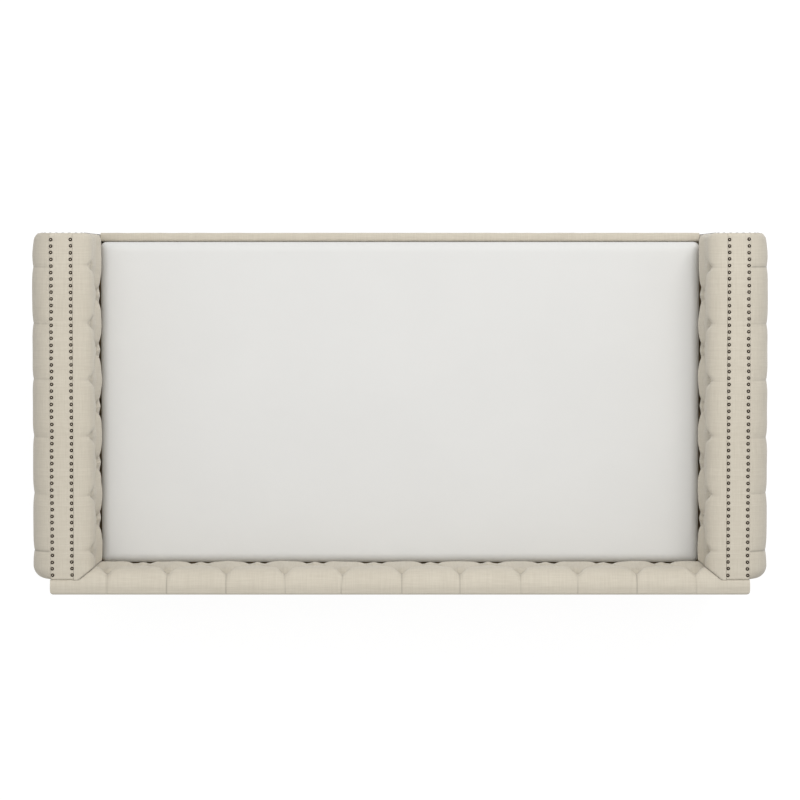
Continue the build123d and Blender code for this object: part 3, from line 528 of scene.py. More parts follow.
def dome_cluster(name, spots, radius, rise, rim):
    """Many small domes in one mesh, each seated on its spot and facing its direction."""
    rings = 5
    around = 18
    levels = [(1.0, 0.0), (1.0, rim)]
    for ring in range(1, rings):
        angle = QUARTER * ring / rings
        levels.append((math.cos(angle), rim + rise * math.sin(angle)))
    vertices = []
    faces = []
    painted_top_light = []
    for base, direction in spots:
        direction = direction.normalized()
        side = direction.orthogonal().normalized()
        up = direction.cross(side)
        first = len(vertices)
        for share, lift in levels:
            # Share toward the top of each dome, for painted light: a highlight on the nails, a darker top on
            # the linen buttons.
            painted_top_light += [1 - share] * around
            for turn in range(around):
                angle = 2 * math.pi * turn / around
                offset = side * (math.cos(angle) * share * radius) + up * (math.sin(angle) * share * radius)
                vertices.append(base + offset + direction * lift)
        vertices.append(base + direction * (rim + rise))
        painted_top_light.append(1.0)
        for ring in range(len(levels) - 1):
            for turn in range(around):
                here = first + ring * around
                step = (turn + 1) % around
                faces.append([here + turn, here + step, here + around + step, here + around + turn])
        last = first + (len(levels) - 1) * around
        faces += [[last + turn, last + (turn + 1) % around, len(vertices) - 1] for turn in range(around)]
        faces.append([first + turn for turn in range(around)][::-1])
    return finish_mesh(name, vertices, faces, crease=painted_top_light)


def arm_outer_roll(side, sign, seed):
    """Padded outer roll of one arm, with a shallow fold in line with each button, darkened along its line
    with painted shade.
    """
    seat = COVER_LOW.x + GAP
    centre_x, centre_z = ROLL_CENTRE
    half_angle = math.acos((seat - centre_x) / ROLL_RADIUS)
    angles = np.linspace(half_angle, -half_angle, 46)
    stations, drop = front_stations(280)
    before = stations < ARM_REAR - ROLL_END_RADIUS
    turn = ARM_REAR - ROLL_END_RADIUS * (1 - np.sin(np.linspace(0.03, 1, 17) * QUARTER))
    stations = np.concatenate([stations[before], turn])
    drop = np.concatenate([drop[before], np.zeros((len(turn), 1))])
    rng = np.random.default_rng(seed)
    places = [ARM_FRONT + ARM_PITCH * (i + 0.5) + rng.uniform(-3, 3) * MM for i in range(ARM_BUTTONS)]
    a, t = np.meshgrid(stations, angles, indexing="ij")
    arc = (half_angle - t) * ROLL_RADIUS
    distance = np.full(a.shape, 9.0)
    painted_light = np.zeros(a.shape)
    for place in places:
        lean = rng.uniform(-4, 4) * MM
        # Painted shade along each fold, stronger on some folds than on others.
        dark = rng.choice([0.15, 0.3, 0.9])
        here = np.abs(a - place - lean * arc / arc.max())
        distance = np.minimum(distance, here)
        painted_light = np.maximum(painted_light, dark * falloff(here, FOLD_SHADE_WIDTH) * share_of(arc, 6 * MM))
    crown = np.sin(share_of(distance, PUFF_REACH) * QUARTER) ** 0.6
    near_nails = np.clip(arc / (22 * MM), 0.3, 1)
    rumple = noise_field(seed + 5, 8, 60 * MM, 200 * MM)(a, arc)
    radius = ROLL_RADIUS - ROLL_FOLD * near_nails * (1 - crown) + rumple * 0.9 * MM * near_nails - 0.6 * MM
    outward = np.clip(np.cos(t), 0.0, 1)
    radius = radius - 0.9 * rounding(ARM_REAR - a, ROLL_END_RADIUS) * (0.25 + 0.75 * outward)
    turned = 0.85 * (1 - share_of(a - COVER_FRONT, 0.85 * ROLL_FRONT_CORNER))
    drawn = ROLL_FRONT_CORNER * (1 - np.sqrt(1 - turned ** 2))
    drawn = drawn + ROLL_GATHER * falloff(a - COVER_FRONT, ROLL_GATHER_REACH)
    radius = radius - np.maximum(drop, drawn * outward)
    across = np.maximum(centre_x + radius * np.cos(t), seat)
    height = centre_z + radius * np.sin(t)
    skin = np.stack([across, a, height], axis=-1)
    low, high = height[:, -1:], height[:, :1]
    hidden = points_behind(seat, stations, np.hstack([low * 0.7 + high * 0.3, low * 0.3 + high * 0.7]))
    return covered(f"{side}_arm_roll_cover", a, arc, painted_light, skin, hidden, (0.3, 0.31), sign, flip=sign < 0)


def crown_nail_places(seed):
    """Places of one row of nail heads, a little uneven as hand-set nails are."""
    rng = np.random.default_rng(seed)
    run = ARM_LENGTH - NAIL_FRONT - NAIL_REAR
    count = int(run // NAIL_PITCH)
    return [
        (ARM_FRONT + NAIL_FRONT + run * i / count + rng.uniform(-0.9, 0.9) * MM, rng.uniform(-0.7, 0.7) * MM)
        for i in range(count + 1)
    ]


def arm_crown_band(side, sign, seed):
    """Flat strip between the nail rows, puckered a little at each nail."""
    left, right = BAND_LOW.x, BAND_HIGH.x
    rows = [(left + NAIL_EDGE, crown_nail_places(seed)), (right - NAIL_EDGE, crown_nail_places(seed + 1))]
    edge = 2.2 * MM
    turn = np.linspace(0, QUARTER, 5)
    rounded = left + edge * (1 - np.cos(turn))
    inside = np.linspace(left + edge, right - edge, 26)[1:-1]
    across = np.concatenate([rounded, inside, left + right - rounded[::-1]])
    sides = edge * (1 - np.sin(turn))
    drop = np.concatenate([sides, np.zeros(len(inside)), sides[::-1]])
    stations, front_drop = front_stations(330)
    a, u = np.meshgrid(stations, across, indexing="ij")
    crown = 1.1 * MM * np.clip(1 - ((u - (left + right) / 2) / (24 * MM)) ** 2, 0, 1)
    top = CROWN - 0.6 * MM - drop + crown - front_drop - rounding(ARM_REAR - a, 3 * MM)
    for row, places in rows:
        pulled = np.zeros(a.shape)
        for along, aside in places:
            pulled = np.maximum(pulled, falloff(np.hypot(a - along, u - row - aside), NAIL_PUCKER))
        top = top - 0.9 * MM * pulled
    top = top + noise_field(seed + 9, 7, 40 * MM, 130 * MM)(a, u) * 0.35 * MM
    skin = np.stack([u, a, top], axis=-1)
    seat = np.where(stations < ARM_FRONT, BAND_LOW.z - 8 * MM, BAND_LOW.z)[:, None]
    hidden = points_behind([right, left], stations, seat)
    name = f"{side}_arm_band_cover"
    piece = covered(name, a, u - left, None, skin, hidden, (0.2, 0.1), sign, flip=sign < 0)
    nails = []
    for row, places in rows:
        for along, aside in places:
            nails.append((Vector((sign * (row + aside), along, CROWN - 0.9 * MM)), Vector((0, 0, 1))))
    return piece, nails


def scroll_outline(inset):
    """Points round the scroll-shaped front facing of the right arm, moved in by the inset."""
    inner = FACING_LOW.x + FACING_SIDE_GAP + inset
    outer = COVER_HIGH.x - inset
    bottom = FACING_LOW.z + inset
    top = CROWN - FACING_MARGIN - inset
    turn_x = BAND_LOW.x
    inner_radius = turn_x - inner
    turn_z = top - inner_radius
    centre_x, centre_z = ROLL_CENTRE
    outer_radius = ROLL_RADIUS - FACING_MARGIN - inset
    end_angle = -math.acos((outer - centre_x) / outer_radius)
    points = [(inner, z) for z in np.linspace(bottom, turn_z, 10, endpoint=False)]
    for angle in np.linspace(math.pi, QUARTER, 28, endpoint=False):
        points.append((turn_x + inner_radius * math.cos(angle), turn_z + inner_radius * math.sin(angle)))
    points += [(x, top) for x in np.linspace(turn_x, centre_x, 6, endpoint=False)]
    for angle in np.linspace(QUARTER, end_angle, 56, endpoint=False):
        radius = min(outer_radius, ROLL_RADIUS - inset - ROLL_END_DRAW * math.cos(angle))
        points.append((centre_x + radius * math.cos(angle), centre_z + radius * math.sin(angle)))
    knee = centre_z + outer_radius * math.sin(end_angle)
    points += [(outer, z) for z in np.linspace(knee, bottom, 10, endpoint=False)]
    points += [(x, bottom) for x in np.linspace(outer, inner, 5, endpoint=False)]
    return np.array(points)


def arm_front_facing(side, sign, seed):
    """Upholstered scroll over the front end of one arm, softly rounded at its edge."""
    field = noise_field(seed, 7, 60 * MM, 180 * MM)
    rings = []
    uvs = []
    for inset, depth in ((0.0, ARM_FRONT - GAP - FRONT_FACE),) + FACING_LEVELS:
        outline = scroll_outline(inset)
        ring = np.stack([outline[:, 0], np.full(len(outline), FRONT_FACE + depth), outline[:, 1]], axis=1)
        ring[:, 1] += field(outline[:, 0], outline[:, 1]) * 0.5 * MM * min(1, inset / (10 * MM))
        rings.append(ring)
        uvs.append(outline)
    rings = np.array(rings)
    rings[:, :, 0] *= sign
    return swept_shell(f"{side}_arm_facing_cover", rings, np.array(uvs), flip=sign < 0)


def facing_nails(sign, seed):
    """Nail heads round the edge of one front facing, apart from its foot."""
    rng = np.random.default_rng(seed)
    outline = scroll_outline(FACING_NAIL_INSET)[:-4]
    lengths = running_lengths(outline)
    count = int(lengths[-1] // NAIL_PITCH)
    spots = []
    for i in range(count + 1):
        at = lengths[-1] * i / count + rng.uniform(-0.8, 0.8) * MM
        across = float(np.interp(at, lengths, outline[:, 0]))
        height = float(np.interp(at, lengths, outline[:, 1]))
        spots.append((Vector((sign * across, FRONT_FACE + 0.1 * MM, height)), Vector((0, -1, 0))))
    return spots


def arm_outer_face(side, seed):
    """Outer cover of one arm: a soft-edged slab with a gently uneven face."""
    low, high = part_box(f"{side}_arm_outer_cover")
    grid = 14 * MM
    wave = 0.9 * MM
    radius = min(2 * MM, (high.x - low.x) / 2)
    a_line = np.linspace(low.y, high.y, int((high.y - low.y) / grid))
    b_line = np.linspace(low.z, high.z, int((high.z - low.z) / grid))
    a, b = np.meshgrid(a_line, b_line, indexing="ij")
    inside = np.minimum(np.minimum(a - low.y, high.y - a), np.minimum(b - low.z, high.z - b))
    rounded = rounding(inside, radius)
    wavy = noise_field(seed, 7, 70 * MM, 260 * MM)(a, b) * wave * share_of(inside, 20 * MM)
    near = np.stack([low.x + rounded + 0.3 * wavy, a, b], axis=-1).reshape(-1, 3)
    far = np.stack([high.x - rounded + wavy, a, b], axis=-1).reshape(-1, 3)
    quads, border = grid_faces(a.shape)
    after = np.roll(border, -1)
    wall = np.stack([border, after, after + a.size, border + a.size], axis=-1)
    faces = quads[:, ::-1].tolist() + (quads + a.size).tolist() + wall.tolist()
    uvs = np.concatenate([np.stack([a, b], axis=-1).reshape(-1, 2)] * 2)
    return finish_mesh(f"{side}_arm_outer_face", np.concatenate([near, far]), faces, uvs)


def back_rear_cover(seed):
    """Upholstered rear face, wrapped round both ends of the back."""
    half = BACK_HALF
    rear = REAR_HIGH.y
    front = BACK_PANEL_LOW.y
    corner = BACK_CORNER
    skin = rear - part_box("back_top_rail")[1].y
    turns = np.linspace(0, QUARTER, 7)
    bend = [(corner * (1 - math.cos(t)), rear - corner * (1 - math.sin(t))) for t in turns]
    outline = [(-half, y) for y in np.linspace(front, rear - corner, 6, endpoint=False)]
    outline += [(-half + x, y) for x, y in bend]
    outline += [(x, rear) for x in np.linspace(-half + corner, half - corner, 120)[1:-1]]
    outline += [(half - x, y) for x, y in bend[::-1]]
    outline += [(half, y) for y in np.linspace(rear - corner, front, 7)[1:]]
    outer = np.array(outline)
    inner_x = half - skin
    inner_y = rear - skin
    inner = np.array([(inner_x, front), (inner_x, inner_y), (-inner_x, inner_y), (-inner_x, front)])
    field = noise_field(seed, 8, 90 * MM, 320 * MM)
    lengths = running_lengths(outer)
    rings = []
    uvs = []
    for height in np.linspace(REAR_LOW.z, REAR_HIGH.z, 48):
        wave = field(lengths, height) * MM * (outer[:, 1] > rear - 1 * MM)
        tuck = 2.5 / 12 * rounding(height - REAR_LOW.z, 12 * MM)
        level = np.full(len(outer), height)
        skin_ring = np.stack([outer[:, 0], outer[:, 1] + np.minimum(wave, 1.5 * MM) - tuck, level], axis=1)
        inner_ring = np.stack([inner[:, 0], inner[:, 1], np.full(4, height)], axis=1)
        rings.append(np.concatenate([skin_ring, inner_ring]))
        uvs.append(np.concatenate([np.stack([lengths, level], axis=1), np.zeros((4, 2))]))
    return swept_shell("back_rear_face", np.array(rings), np.array(uvs), flip=True, sharp=50)


def front_rail_cover(seed):
    """Cover wrapped over the front rail, with a rounded top edge at the front and the rear."""
    front, rear = RAIL_LOW.y, RAIL_HIGH.y
    bottom, top = RAIL_LOW.z, RAIL_HIGH.z
    board_front, board_rear = BOARD_LOW.y, BOARD_HIGH.y
    lip = PAD_FOOT + 5 * MM
    turn = np.linspace(0, QUARTER, 8)
    big, small = 9 * MM, 10 * MM
    outline = [(board_rear, bottom + 1 * MM), (front + 3 * MM, bottom), (front, bottom + 3 * MM)]
    outline += [(front, z) for z in np.linspace(bottom + 3 * MM, top - big, 14)[1:-1]]
    outline += [(front + big * (1 - math.cos(t)), top - big * (1 - math.sin(t))) for t in turn]
    outline += [(rear - small * (1 - math.sin(t)), top - small * (1 - math.cos(t))) for t in turn]
    outline += [(rear, lip), (board_rear, lip), (board_rear, BOARD_HIGH.z), (board_front, BOARD_HIGH.z)]
    outline += [(board_front, BOARD_LOW.z), (board_rear, BOARD_LOW.z)]
    outline = np.array(outline)
    stations = np.linspace(RAIL_LOW.x, RAIL_HIGH.x, 380)
    s, k = np.meshgrid(stations, running_lengths(outline), indexing="ij")
    soft = np.abs(noise_field(seed, 9, 50 * MM, 240 * MM)(s, k)) * MM
    rings = np.zeros(s.shape + (3,))
    rings[..., 0] = s
    rings[..., 1] = outline[:, 0] + np.where(outline[:, 0] < board_front - 1 * MM, 1.2 * soft, 0)
    rings[..., 2] = outline[:, 1] - np.where(outline[:, 1] > BOARD_HIGH.z + 1 * MM, 0.9 * soft, 0)
    return swept_shell("front_rail_wrap", rings, np.stack([s, k], axis=-1), sharp=45)


def mattress(seed):
    """Foam mattress in a smooth knitted cover: rounded edges, a slight crown and a side seam."""
    centre = (MATTRESS_LOW + MATTRESS_HIGH) / 2
    half_x = (MATTRESS_HIGH.x - MATTRESS_LOW.x) / 2 + 2.5 * MM
    half_y = (MATTRESS_HIGH.y - MATTRESS_LOW.y) / 2
    corner = 18 * MM
    edge = 30 * MM
    settle = 1.2 * MM
    calm = 60 * MM

    def spread(half, count):
        """Evenly spaced inside, and closer together in the rounded edge."""
        inner = np.linspace(-(half - edge), half - edge, count)
        turn = half - edge * (1 - np.sin(np.linspace(0, QUARTER, 9)[1:]))
        return np.concatenate([-turn[::-1], inner, turn])

    x, y = np.meshgrid(spread(half_x, 190), spread(half_y, 110), indexing="ij")
    over_x = np.abs(x) - (half_x - corner)
    over_y = np.abs(y) - (half_y - corner)
    in_corner = (over_x > 0) & (over_y > 0)
    longest = np.maximum(over_x, over_y)
    size = np.maximum(np.hypot(over_x, over_y), 1e-9)
    x = np.where(in_corner, np.sign(x) * (half_x - corner + over_x / size * longest), x)
    y = np.where(in_corner, np.sign(y) * (half_y - corner + over_y / size * longest), y)
    from_side = half_x - np.abs(x)
    from_end = half_y - np.abs(y)
    inside = np.where(in_corner, corner - longest, np.minimum(from_side, from_end))
    near = np.maximum(np.minimum(from_side, from_end), 1e-6)
    far = np.maximum(np.maximum(from_side, from_end), 1e-6)
    inside = inside * (1 + (near / far) ** 4) ** -0.25
    drop = edge * (1 - np.sqrt(np.clip(1 - (1 - share_of(inside, edge)) ** 2, 0, 1)))
    crown = 1.8 * MM * (1 - (x / half_x) ** 2) * (1 - (y / half_y) ** 2)
    soft = noise_field(seed, 10, 120 * MM, 520 * MM)(x, y) * 0.9 * MM
    crease = noise_field(seed + 3, 8, 30 * MM, 90 * MM)(x * 0.35, y) * 0.25 * MM
    top = MATTRESS_HIGH.z - settle - drop + crown + (soft + crease) * share_of(inside, calm)
    upper = np.stack([x + centre.x, y + centre.y, top], axis=-1).reshape(-1, 3)
    quads, border = grid_faces(x.shape)
    faces = quads.tolist()
    vertices = [upper]
    uvs = [np.stack([x, y], axis=-1).reshape(-1, 2)]
    rim = upper[border]
    around = running_lengths(rim[:, :2])
    outward = rim[:, :2] - np.roll(rim[:, :2], 1, axis=0)
    outward = np.stack([outward[:, 1], -outward[:, 0]], axis=1)
    outward = (outward + np.roll(outward, -1, axis=0)) / 2
    outward /= np.maximum(np.hypot(*outward.T), 1e-9)[:, None]
    top_z = MATTRESS_HIGH.z - edge - settle
    low_z = MATTRESS_LOW.z + edge
    seam = (top_z + low_z) / 2
    walls = [(z, 0.0) for z in np.linspace(top_z, seam + 3 * MM, 8)[1:]]
    walls += [(seam, 2.2 * MM)]
    walls += [(z, 0.0) for z in np.linspace(seam - 3 * MM, low_z, 8)]
    turns = np.linspace(0, QUARTER, 7)[1:]
    walls += [(low_z - edge * math.sin(t), edge * (1 - math.cos(t))) for t in turns]
    wave = noise_field(seed + 7, 8, 80 * MM, 300 * MM)
    previous = border
    total = x.size
    for height, pull in walls:
        ring = rim.copy()
        ring[:, :2] -= outward * (pull + np.abs(wave(around, height) * 0.7 * MM))[:, None]
        ring[:, 2] = height
        current = np.arange(total, total + len(border))
        total += len(border)
        faces += np.stack([previous, current, np.roll(current, -1), np.roll(previous, -1)], axis=-1).tolist()
        vertices.append(ring)
        uvs.append(np.stack([around, np.full(len(border), height)], axis=1))
        previous = current
    faces.append(previous[::-1].tolist())
    return finish_mesh("mattress_top_cover", np.concatenate(vertices), faces, np.concatenate(uvs))


class Nodes:
    """Short way to build and link the nodes of a material or of the world."""

    def __init__(self, name, owners=bpy.data.materials, shader="Principled BSDF"):
        self.owner = owners.new(name)
        self.owner.use_nodes = True
        self.tree = self.owner.node_tree
        self.shader = self.tree.nodes[shader]

    def put(self, socket, value):
        """Link another node's output to the socket, or set the socket to a constant."""
        if isinstance(value, bpy.types.NodeSocket):
            self.tree.links.new(value, socket)
        elif socket.type == "RGBA":
            socket.default_value = (*value[:3], 1.0)
        else:
            socket.default_value = value

    def add(self, kind, inputs, **settings):
        node = self.tree.nodes.new(kind)
        for key, value in settings.items():
            setattr(node, key, value)
        for key, value in inputs.items():
            self.put(node.inputs[key], value)
        return node

    def surface(self, inputs):
        """Set the main shader's inputs, and give back the finished material."""
        for key, value in inputs.items():
            self.put(self.shader.inputs[key], value)
        return self.owner

    def glow(self, kind, strength, share, output):
        """Mix a white glow over the main shader, by its share where the camera sees it, mirrored or not."""
        rays = self.add("ShaderNodeLightPath", {}).outputs
        seen = self.maths("MAXIMUM", rays["Is Camera Ray"], rays["Is Glossy Ray"])
        seen = self.maths("MAXIMUM", seen, rays["Is Transmission Ray"])
        light = self.add(kind, {"Color": (1, 1, 1), "Strength": strength}).outputs[0]
        inputs = {0: self.maths("MULTIPLY", seen, share), 1: self.shader.outputs[0], 2: light}
        mixed = self.add("ShaderNodeMixShader", inputs).outputs[0]
        self.put(self.tree.nodes[output].inputs["Surface"], mixed)

    def colour(self, factor, first, second):
        """Colour between two others, by the factor."""
        return self.add("ShaderNodeMix", {0: factor, 6: first, 7: second}, data_type="RGBA").outputs[2]

    def maths(self, operation, first, second, clamp=False):
        inputs = {0: first, 1: second}
        return self.add("ShaderNodeMath", inputs, operation=operation, use_clamp=clamp).outputs[0]

    def weighted(self, first, first_share, second, second_share, clamp=False):
        """Sum of two values, each times its share."""
        parts = self.maths("MULTIPLY", first, first_share), self.maths("MULTIPLY", second, second_share)
        return self.maths("ADD", *parts, clamp=clamp)

    def ramp(self, value, low, high, to_low=0.0, to_high=1.0):
        inputs = {"Value": value, "From Min": low, "From Max": high, "To Min": to_low, "To Max": to_high}
        return self.add("ShaderNodeMapRange", inputs).outputs["Result"]

    def bump(self, height, strength, distance):
        inputs = {"Height": height, "Strength": strength, "Distance": distance}
        return self.add("ShaderNodeBump", inputs).outputs["Normal"]

    def coordinates(self, source, scale):
        place = self.add("ShaderNodeTexCoord", {}).outputs[source]
        return self.add("ShaderNodeMapping", {"Vector": place, "Scale": scale}).outputs["Vector"]

    def noise(self, vector, scale, detail, roughness):
        inputs = {"Vector": vector, "Scale": scale, "Detail": detail, "Roughness": roughness}
        return self.add("ShaderNodeTexNoise", inputs).outputs["Fac"]

    def waves(self, vector, scale, distortion, detail, detail_scale, direction):
        inputs = {"Vector": vector, "Scale": scale, "Distortion": distortion, "Detail": detail,
                  "Detail Scale": detail_scale}
        return self.add("ShaderNodeTexWave", inputs, bands_direction=direction).outputs["Fac"]

    def attribute(self, name):
        node = self.add("ShaderNodeAttribute", {}, attribute_name=name, attribute_type="GEOMETRY")
        return node.outputs["Fac"]


def woven(name, light, dark, slub=0.5):
    """Plain-woven cloth: slubby threads both ways, a fine weave bump, and painted shade in the folds."""
    n = Nodes(name)
    along = n.noise(n.coordinates("UV", (14.0, 330.0, 1.0)), 1.0, 3.0, 0.6)
    across = n.noise(n.coordinates("UV", (330.0, 14.0, 1.0)), 1.0, 3.0, 0.6)
    patches = n.noise(n.coordinates("UV", (5.0, 5.0, 1.0)), 1.0, 2.0, 0.5)
    threads = n.weighted(along, 0.5, across, 0.5)
    tone = n.weighted(n.ramp(threads, 0.36, 0.64), slub, patches, 0.3, clamp=True)
    # Painted shade: along the folds the colour is drawn toward a darker shade of the cloth.
    shade = n.maths("MULTIPLY", n.attribute("painted_light"), 0.55, clamp=True)
    painted_fold_shade = tuple(channel * 0.28 for channel in dark)
    fine_place = n.coordinates("UV", (1.0, 1.0, 1.0))
    warp = n.waves(fine_place, 260.0, 1.2, 1.0, 2.0, "X")
    weft = n.waves(fine_place, 260.0, 1.2, 1.0, 2.0, "Y")
    relief = n.weighted(n.maths("MULTIPLY", warp, weft), 0.6, threads, 1.4)
    return n.surface({
        "Base Color": n.colour(shade, n.colour(tone, dark, light), painted_fold_shade),
        "Normal": n.bump(relief, 0.5, 0.0006),
        "Roughness": n.ramp(threads, 0.3, 0.7, 0.8, 0.95),
        "Sheen Weight": 0.25,
        "Sheen Roughness": 0.5,
        "Specular IOR Level": 0.2,
    })


def knitted(name, light, dark):
    """Smooth knitted mattress cover with a very fine rib."""
    n = Nodes(name)
    cloud = n.noise(n.coordinates("UV", (3.0, 3.0, 1.0)), 1.0, 3.0, 0.55)
    ribs = n.noise(n.coordinates("UV", (60.0, 700.0, 1.0)), 1.0, 2.0, 0.5)
    fine = n.noise(n.coordinates("UV", (900.0, 450.0, 1.0)), 1.0, 2.0, 0.6)
    return n.surface({
        "Base Color": n.colour(n.weighted(cloud, 0.7, ribs, 0.3, clamp=True), dark, light),
        "Normal": n.bump(n.weighted(fine, 0.6, ribs, 1.0), 0.25, 0.0005),
        "Roughness": 0.82,
        "Sheen Weight": 0.2,
        "Sheen Roughness": 0.4,
        "Specular IOR Level": 0.25,
    })


def bronze(name):
    """Antique bronze: dark mottled patina, and a painted highlight that lightens the top of each dome."""
    n = Nodes(name)
    place = n.coordinates("Object", (1.0, 1.0, 1.0))
    mottle = n.noise(place, 420.0, 4.0, 0.6)
    specks = n.noise(place, 1500.0, 2.0, 0.5)
    hollow = n.colour(n.ramp(mottle, 0.35, 0.7), (0.016, 0.012, 0.009), (0.05, 0.037, 0.026))
    return n.surface({
        # Painted highlight: the top of each dome is lighter, from its top share.
        "Base Color": n.colour(n.ramp(n.attribute("painted_light"), 0.6, 1.0), hollow, (0.55, 0.48, 0.38)),
        "Roughness": n.ramp(specks, 0.3, 0.7, 0.28, 0.5),
        "Normal": n.bump(specks, 0.2, 0.0003),
        "Metallic": 0.85,
    })


def timber(name, light, dark, stretch, rough):
    """Planed wood with grain along one axis, darker pores and faint wear."""
    n = Nodes(name)
    place = n.coordinates("Object", stretch)
    grain = n.noise(place, 1.0, 6.0, 0.65)
    rings = n.waves(place, 0.6, 5.0, 3.0, 1.4, "DIAGONAL")
    blend = n.weighted(grain, 0.65, rings, 0.35, clamp=True)
    return n.surface({
        "Base Color": n.colour(n.ramp(blend, 0.3, 0.7), dark, light),
        "Roughness": n.ramp(grain, 0.3, 0.7, rough + 0.12, rough - 0.05),
        "Normal": n.bump(grain, 0.25, 0.0006),
        "Specular IOR Level": 0.35,
    })


def plated_steel(name):
    """Zinc-plated steel with a faint brushed grain."""
    n = Nodes(name)
    brush = n.noise(n.coordinates("Object", (60.0, 900.0, 900.0)), 1.0, 3.0, 0.6)
    return n.surface({
        "Base Color": n.colour(brush, (0.42, 0.42, 0.41), (0.66, 0.66, 0.64)),
        "Roughness": n.ramp(brush, 0.3, 0.7, 0.25, 0.45),
        "Metallic": 1.0,
    })


def moulded(name, colour):
    """Moulded plastic or open foam with a fine grain."""
    n = Nodes(name)
    grain = n.noise(n.coordinates("Object", (1.0, 1.0, 1.0)), 700.0, 3.0, 0.6)
    return n.surface({
        "Base Color": n.colour(grain, tuple(c * 0.8 for c in colour), colour),
        "Normal": n.bump(grain, 0.3, 0.0003),
        "Roughness": 0.6,
    })


LINEN = ((0.645, 0.597, 0.503), (0.50, 0.454, 0.371))
MATERIALS = {
    "linen": woven("linen", *LINEN),
    "linen_band": woven("linen_band", *LINEN, slub=0.55),
    "nail_bronze": bronze("nail_bronze"),
    "mattress_knit": knitted("mattress_knit", (0.70, 0.697, 0.68), (0.65, 0.646, 0.63)),
    "mattress_foam": moulded("mattress_foam", (0.82, 0.78, 0.64)),
    "frame_timber": timber("frame_timber", (0.60, 0.43, 0.25), (0.38, 0.24, 0.12), (8.0, 8.0, 90.0), 0.6),
    "plywood": timber("plywood", (0.64, 0.49, 0.32), (0.46, 0.32, 0.19), (40.0, 6.0, 6.0), 0.55),
    "slat_wood": timber("slat_wood", (0.70, 0.53, 0.33), (0.50, 0.34, 0.19), (90.0, 5.0, 60.0), 0.5),
    "dark_wood": timber("dark_wood", (0.09, 0.055, 0.035), (0.03, 0.018, 0.012), (50.0, 50.0, 6.0), 0.35),
    "zinc_steel": plated_steel("zinc_steel"),
    "black_plastic": moulded("black_plastic", (0.03, 0.03, 0.03)),
}


def dress(piece, slot, node):
    """Give a piece its finish and its body, and hide the CAD node that it stands for."""
    piece.data.materials.clear()
    piece.data.materials.append(MATERIALS[slot])
    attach(piece, "root")
    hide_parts(node)


def dress_cad_nodes():
    """Every CAD node that stays gets the material of its slot in the record."""
    for subpart in frame["record"]["subparts"]:
        node = frame["nodes"][subpart["node"]]
        for slot in node.material_slots:
            slot.material = MATERIALS[subpart["material_slot"]]


dress_cad_nodes()
crown_nails = []
edge_nails = []
buttons = []
for number, (side, sign) in enumerate((("right", 1), ("left", -1))):
    pad, spots = arm_tufted_pad(side, sign, 11 + 20 * number)
    dress(pad, "linen", f"{side}_arm_tufted_pad")
    buttons += spots
    band, nails = arm_crown_band(side, sign, 100 + 10 * number)
    dress(band, "linen_band", f"{side}_arm_crown_band")
    crown_nails += nails
    dress(arm_outer_roll(side, sign, 200 + 10 * number), "linen", f"{side}_arm_outer_roll")
    dress(arm_front_facing(side, sign, 300 + 10 * number), "linen", f"{side}_arm_front_facing")
    edge_nails += facing_nails(sign, 400 + 10 * number)
    dress(arm_outer_face(side, 500 + number), "linen", f"{side}_arm_outer_cover")
pad, spots = back_tufted_pad(31)
buttons += spots
dress(pad, "linen", "back_tufted_pad")
dress(back_rear_cover(600), "linen", "back_rear_cover")
dress(front_rail_cover(700), "linen", "front_rail_cover")
dress(mattress(800), "mattress_knit", "mattress_cover")
nails = dome_cluster("crown_nail_heads", crown_nails, NAIL_RADIUS, NAIL_HEIGHT, 0.3 * MM)
dress(nails, "nail_bronze", "crown_nailheads")
nails = dome_cluster("facing_nail_heads", edge_nails, NAIL_RADIUS, FACING_NAIL_HEIGHT, 0.2 * MM)
dress(nails, "nail_bronze", "facing_nailheads")
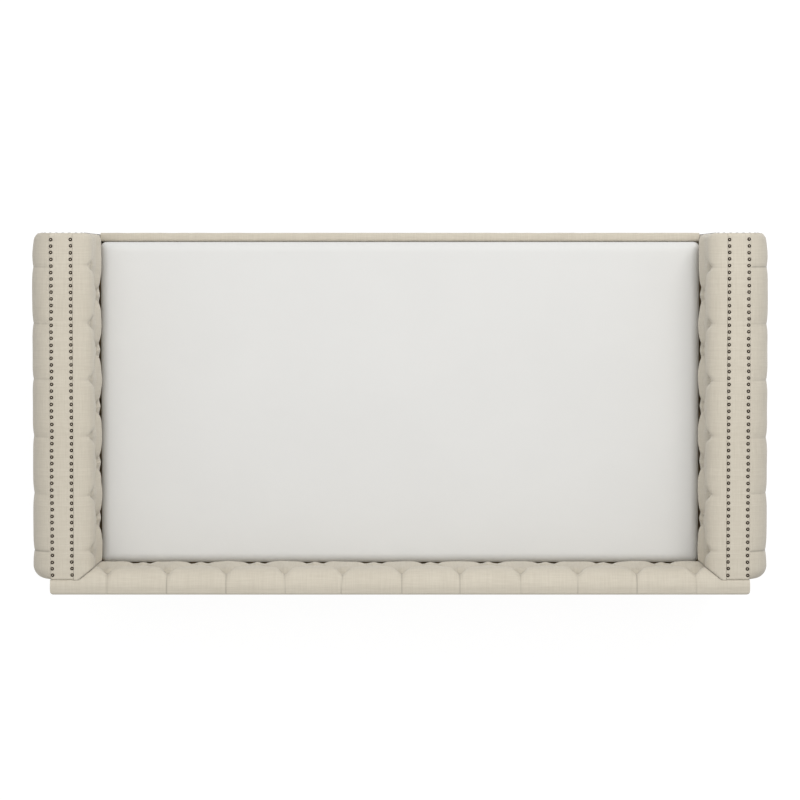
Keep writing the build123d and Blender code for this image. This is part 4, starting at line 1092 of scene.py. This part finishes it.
# The buttons carry the domes' top share, so the linen paints each button darker toward its top: painted
# shade.
dress(dome_cluster("tufting_buttons", buttons, BUTTON_RADIUS, 4 * MM, 1.5 * MM), "linen", "tuft_buttons")


def floor_material():
    """White studio floor that still shows the object's soft shadow."""
    n = Nodes("studio_floor")
    n.glow("ShaderNodeEmission", FLOOR_GLOW, FLOOR_GLOW_SHARE, "Material Output")
    return n.surface({"Base Color": (0.9, 0.9, 0.9), "Roughness": 0.9})


def softbox(name, place, aim, width, power):
    """Square lamp that points from its place at its aim."""
    light = bpy.data.lights.new(name, "AREA")
    light.shape = "SQUARE"
    light.size = width
    light.energy = power
    lamp = place_object(name, light)
    lamp.location = place
    lamp.rotation_euler = (Vector(aim) - Vector(place)).to_track_quat("-Z", "Y").to_euler()


def studio():
    """Plain floor and soft even light."""
    half = FLOOR_HALF
    mesh = bpy.data.meshes.new("floor")
    corners = [(-half, -half, 0), (half, -half, 0), (half, half, 0), (-half, half, 0)]
    mesh.from_pydata(corners, [], [(0, 1, 2, 3)])
    mesh.materials.append(floor_material())
    floor = place_object("floor", mesh)
    floor.location.z = -0.5 * MM

    n = Nodes("studio", bpy.data.worlds, "Background")
    n.glow("ShaderNodeBackground", 1.0, 1.0, "World Output")
    bpy.context.scene.world = n.surface({"Color": (1, 1, 1), "Strength": WORLD_LIGHT})
    softbox("key", *KEY_LIGHT)
    softbox("fill", *FILL_LIGHT)


def camera():
    """Camera about nine metres above the arms, leaning a little from the front of the bed."""
    data = bpy.data.cameras.new("camera")
    data.sensor_width = SENSOR_WIDTH
    data.lens = LENS
    data.clip_end = 100.0
    eye = place_object("camera", data)
    place = Vector((0, CAMERA_DEPTH, CROWN + CAMERA_HEIGHT))
    back = (place - Vector((0, AIM_DEPTH, CROWN))).normalized()
    right = Vector((-1, 0, 0))
    turn = Matrix((right, back.cross(right), back)).transposed()
    eye.matrix_world = Matrix.Translation(place) @ turn.to_4x4()
    bpy.context.scene.camera = eye


studio()
camera()
bpy.context.scene.view_settings.view_transform = "Standard"
